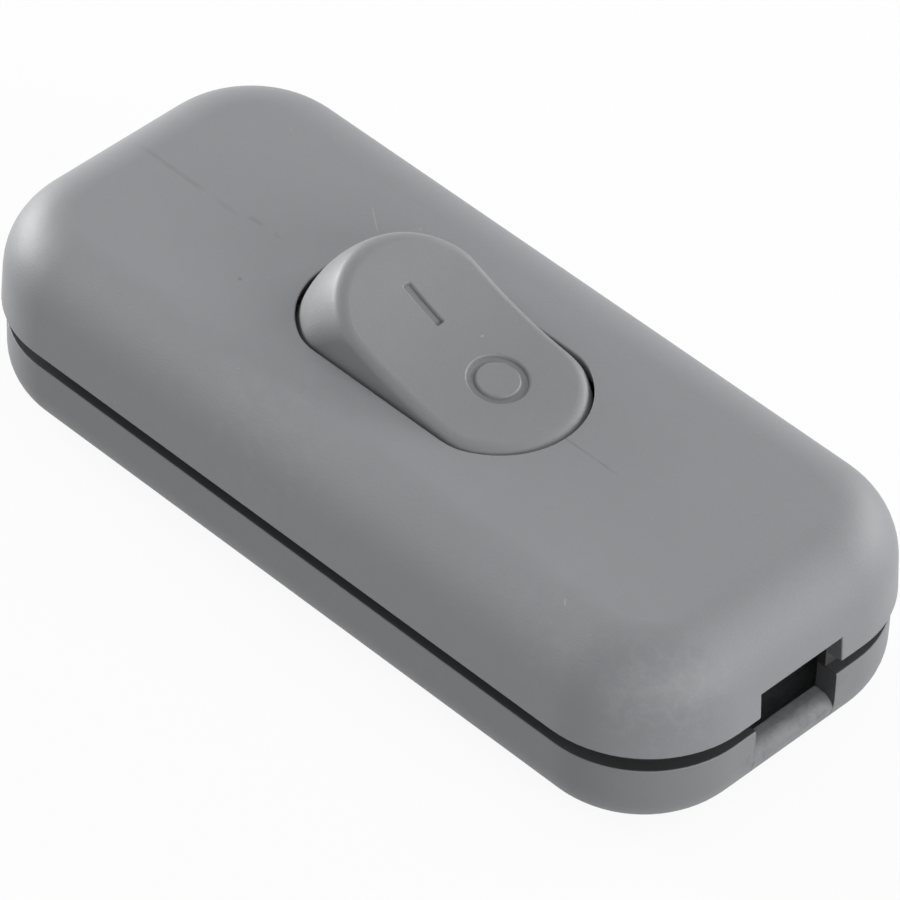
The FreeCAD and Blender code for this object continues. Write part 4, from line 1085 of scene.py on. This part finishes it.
def seen_directly(finish):
    """1 for rays from the camera, from gloss and through glass, 0 for light that spreads."""
    rays = [finish.node("ShaderNodeLightPath", output="Is %s Ray" % kind)
            for kind in ("Camera", "Glossy", "Transmission")]
    return (rays[0] + rays[1] + rays[2]).over(0, 1)


class SWITCH_OT_stage(bpy.types.Operator):
    """Pale floor, soft boxes and camera"""
    bl_idname = "cord_switch.stage"
    bl_label = "Stage"

    def execute(self, context):
        scene = context.scene
        scene.view_settings.view_transform = "Standard"
        bm = bmesh.new()
        under = Matrix.Translation((0, 0, -FLOOR_GAP))
        bmesh.ops.create_grid(bm, x_segments=1, y_segments=1, size=FLOOR_HALF, matrix=under)
        mesh = bpy.data.meshes.new("floor")
        bm.to_mesh(mesh)
        bm.free()
        floor = bpy.data.objects.new("floor", mesh)
        scene.collection.objects.link(floor)
        finish = new_finish("floor_white")
        seen = seen_directly(finish)
        base = finish.node("ShaderNodeBsdfDiffuse", None,
                           {"Color": (*scene.cord_switch_colours.floor, 1)})
        glow = finish.node("ShaderNodeEmission", None, {"Color": (1, 1, 1, 1), "Strength": GLOW_STRENGTH})
        surface = finish.node("ShaderNodeMixShader", None, {"Fac": seen * FLOOR_GLOW, 1: base, 2: glow})
        finish.node("ShaderNodeOutputMaterial", None, {"Surface": surface})
        mesh.materials.append(finish.owner)

        scene.world = bpy.data.worlds.new("studio")
        sky = Finish(scene.world)
        strength = SKY_STRENGTH + seen_directly(sky) * (1 - SKY_STRENGTH)
        light = sky.node("ShaderNodeBackground", None, {"Color": (1, 1, 1, 1), "Strength": strength})
        sky.node("ShaderNodeOutputWorld", None, {"Surface": light})

        for name, place, (wide, high), power in SOFT_BOXES:
            lamp = bpy.data.lights.new(name, "AREA")
            lamp.shape = "RECTANGLE"
            lamp.size = wide
            lamp.size_y = high
            lamp.energy = power
            box = bpy.data.objects.new(name, lamp)
            box.location = place
            box.rotation_euler = (-Vector(place)).to_track_quat("-Z", "Y").to_euler()
            scene.collection.objects.link(box)

        view = bpy.data.cameras.new("photo_view")
        view.sensor_width = CAMERA_FILM
        view.sensor_fit = "HORIZONTAL"
        view.lens = CAMERA_LENS
        view.clip_start = CAMERA_NEAREST
        camera = bpy.data.objects.new("photo_view", view)
        turn = CAMERA_BACK.to_track_quat("Z", "Y").to_matrix().to_4x4()
        turn = turn @ Matrix.Rotation(CAMERA_ROLL, 4, "Z")
        camera.matrix_world = Matrix.Translation(CAMERA_PLACE) @ turn
        scene.collection.objects.link(camera)
        scene.camera = camera
        return {"FINISHED"}


class SWITCH_PT_panel(bpy.types.Panel):
    """Lists the pieces of the switch"""
    bl_idname = "SWITCH_PT_panel"
    bl_label = "Inline Cord Switch"
    bl_space_type = "VIEW_3D"
    bl_region_type = "UI"
    bl_category = "Cord Switch"

    def draw(self, context):
        for operator in OPERATORS:
            self.layout.operator(operator.bl_idname)


GROUPS = {
    "cord_switch_housing": HousingSizes,
    "cord_switch_rocker": RockerSizes,
    "cord_switch_screws": ScrewSizes,
    "cord_switch_colours": Colours,
}
OPERATORS = (SWITCH_OT_finishes, SWITCH_OT_upper_shell, SWITCH_OT_lower_shell, SWITCH_OT_rocker,
             SWITCH_OT_coil_spring, SWITCH_OT_housing_screws, SWITCH_OT_stage)


def register():
    """Makes the property groups, operators and panel known."""
    for name, group in GROUPS.items():
        bpy.utils.register_class(group)
        setattr(bpy.types.Scene, name, PointerProperty(type=group))
    for item in (*OPERATORS, SWITCH_PT_panel):
        bpy.utils.register_class(item)


def unregister():
    """Takes them out again."""
    for item in reversed((*OPERATORS, SWITCH_PT_panel)):
        bpy.utils.unregister_class(item)
    for name, group in GROUPS.items():
        delattr(bpy.types.Scene, name)
        bpy.utils.unregister_class(group)


def main():
    """Builds every piece and the stage."""
    register()
    bpy.ops.cord_switch.finishes()
    bpy.ops.cord_switch.upper_shell()
    bpy.ops.cord_switch.lower_shell()
    bpy.ops.cord_switch.rocker()
    bpy.ops.cord_switch.coil_spring()
    bpy.ops.cord_switch.housing_screws()
    bpy.ops.cord_switch.stage()


if __name__ == "__main__":
    main()
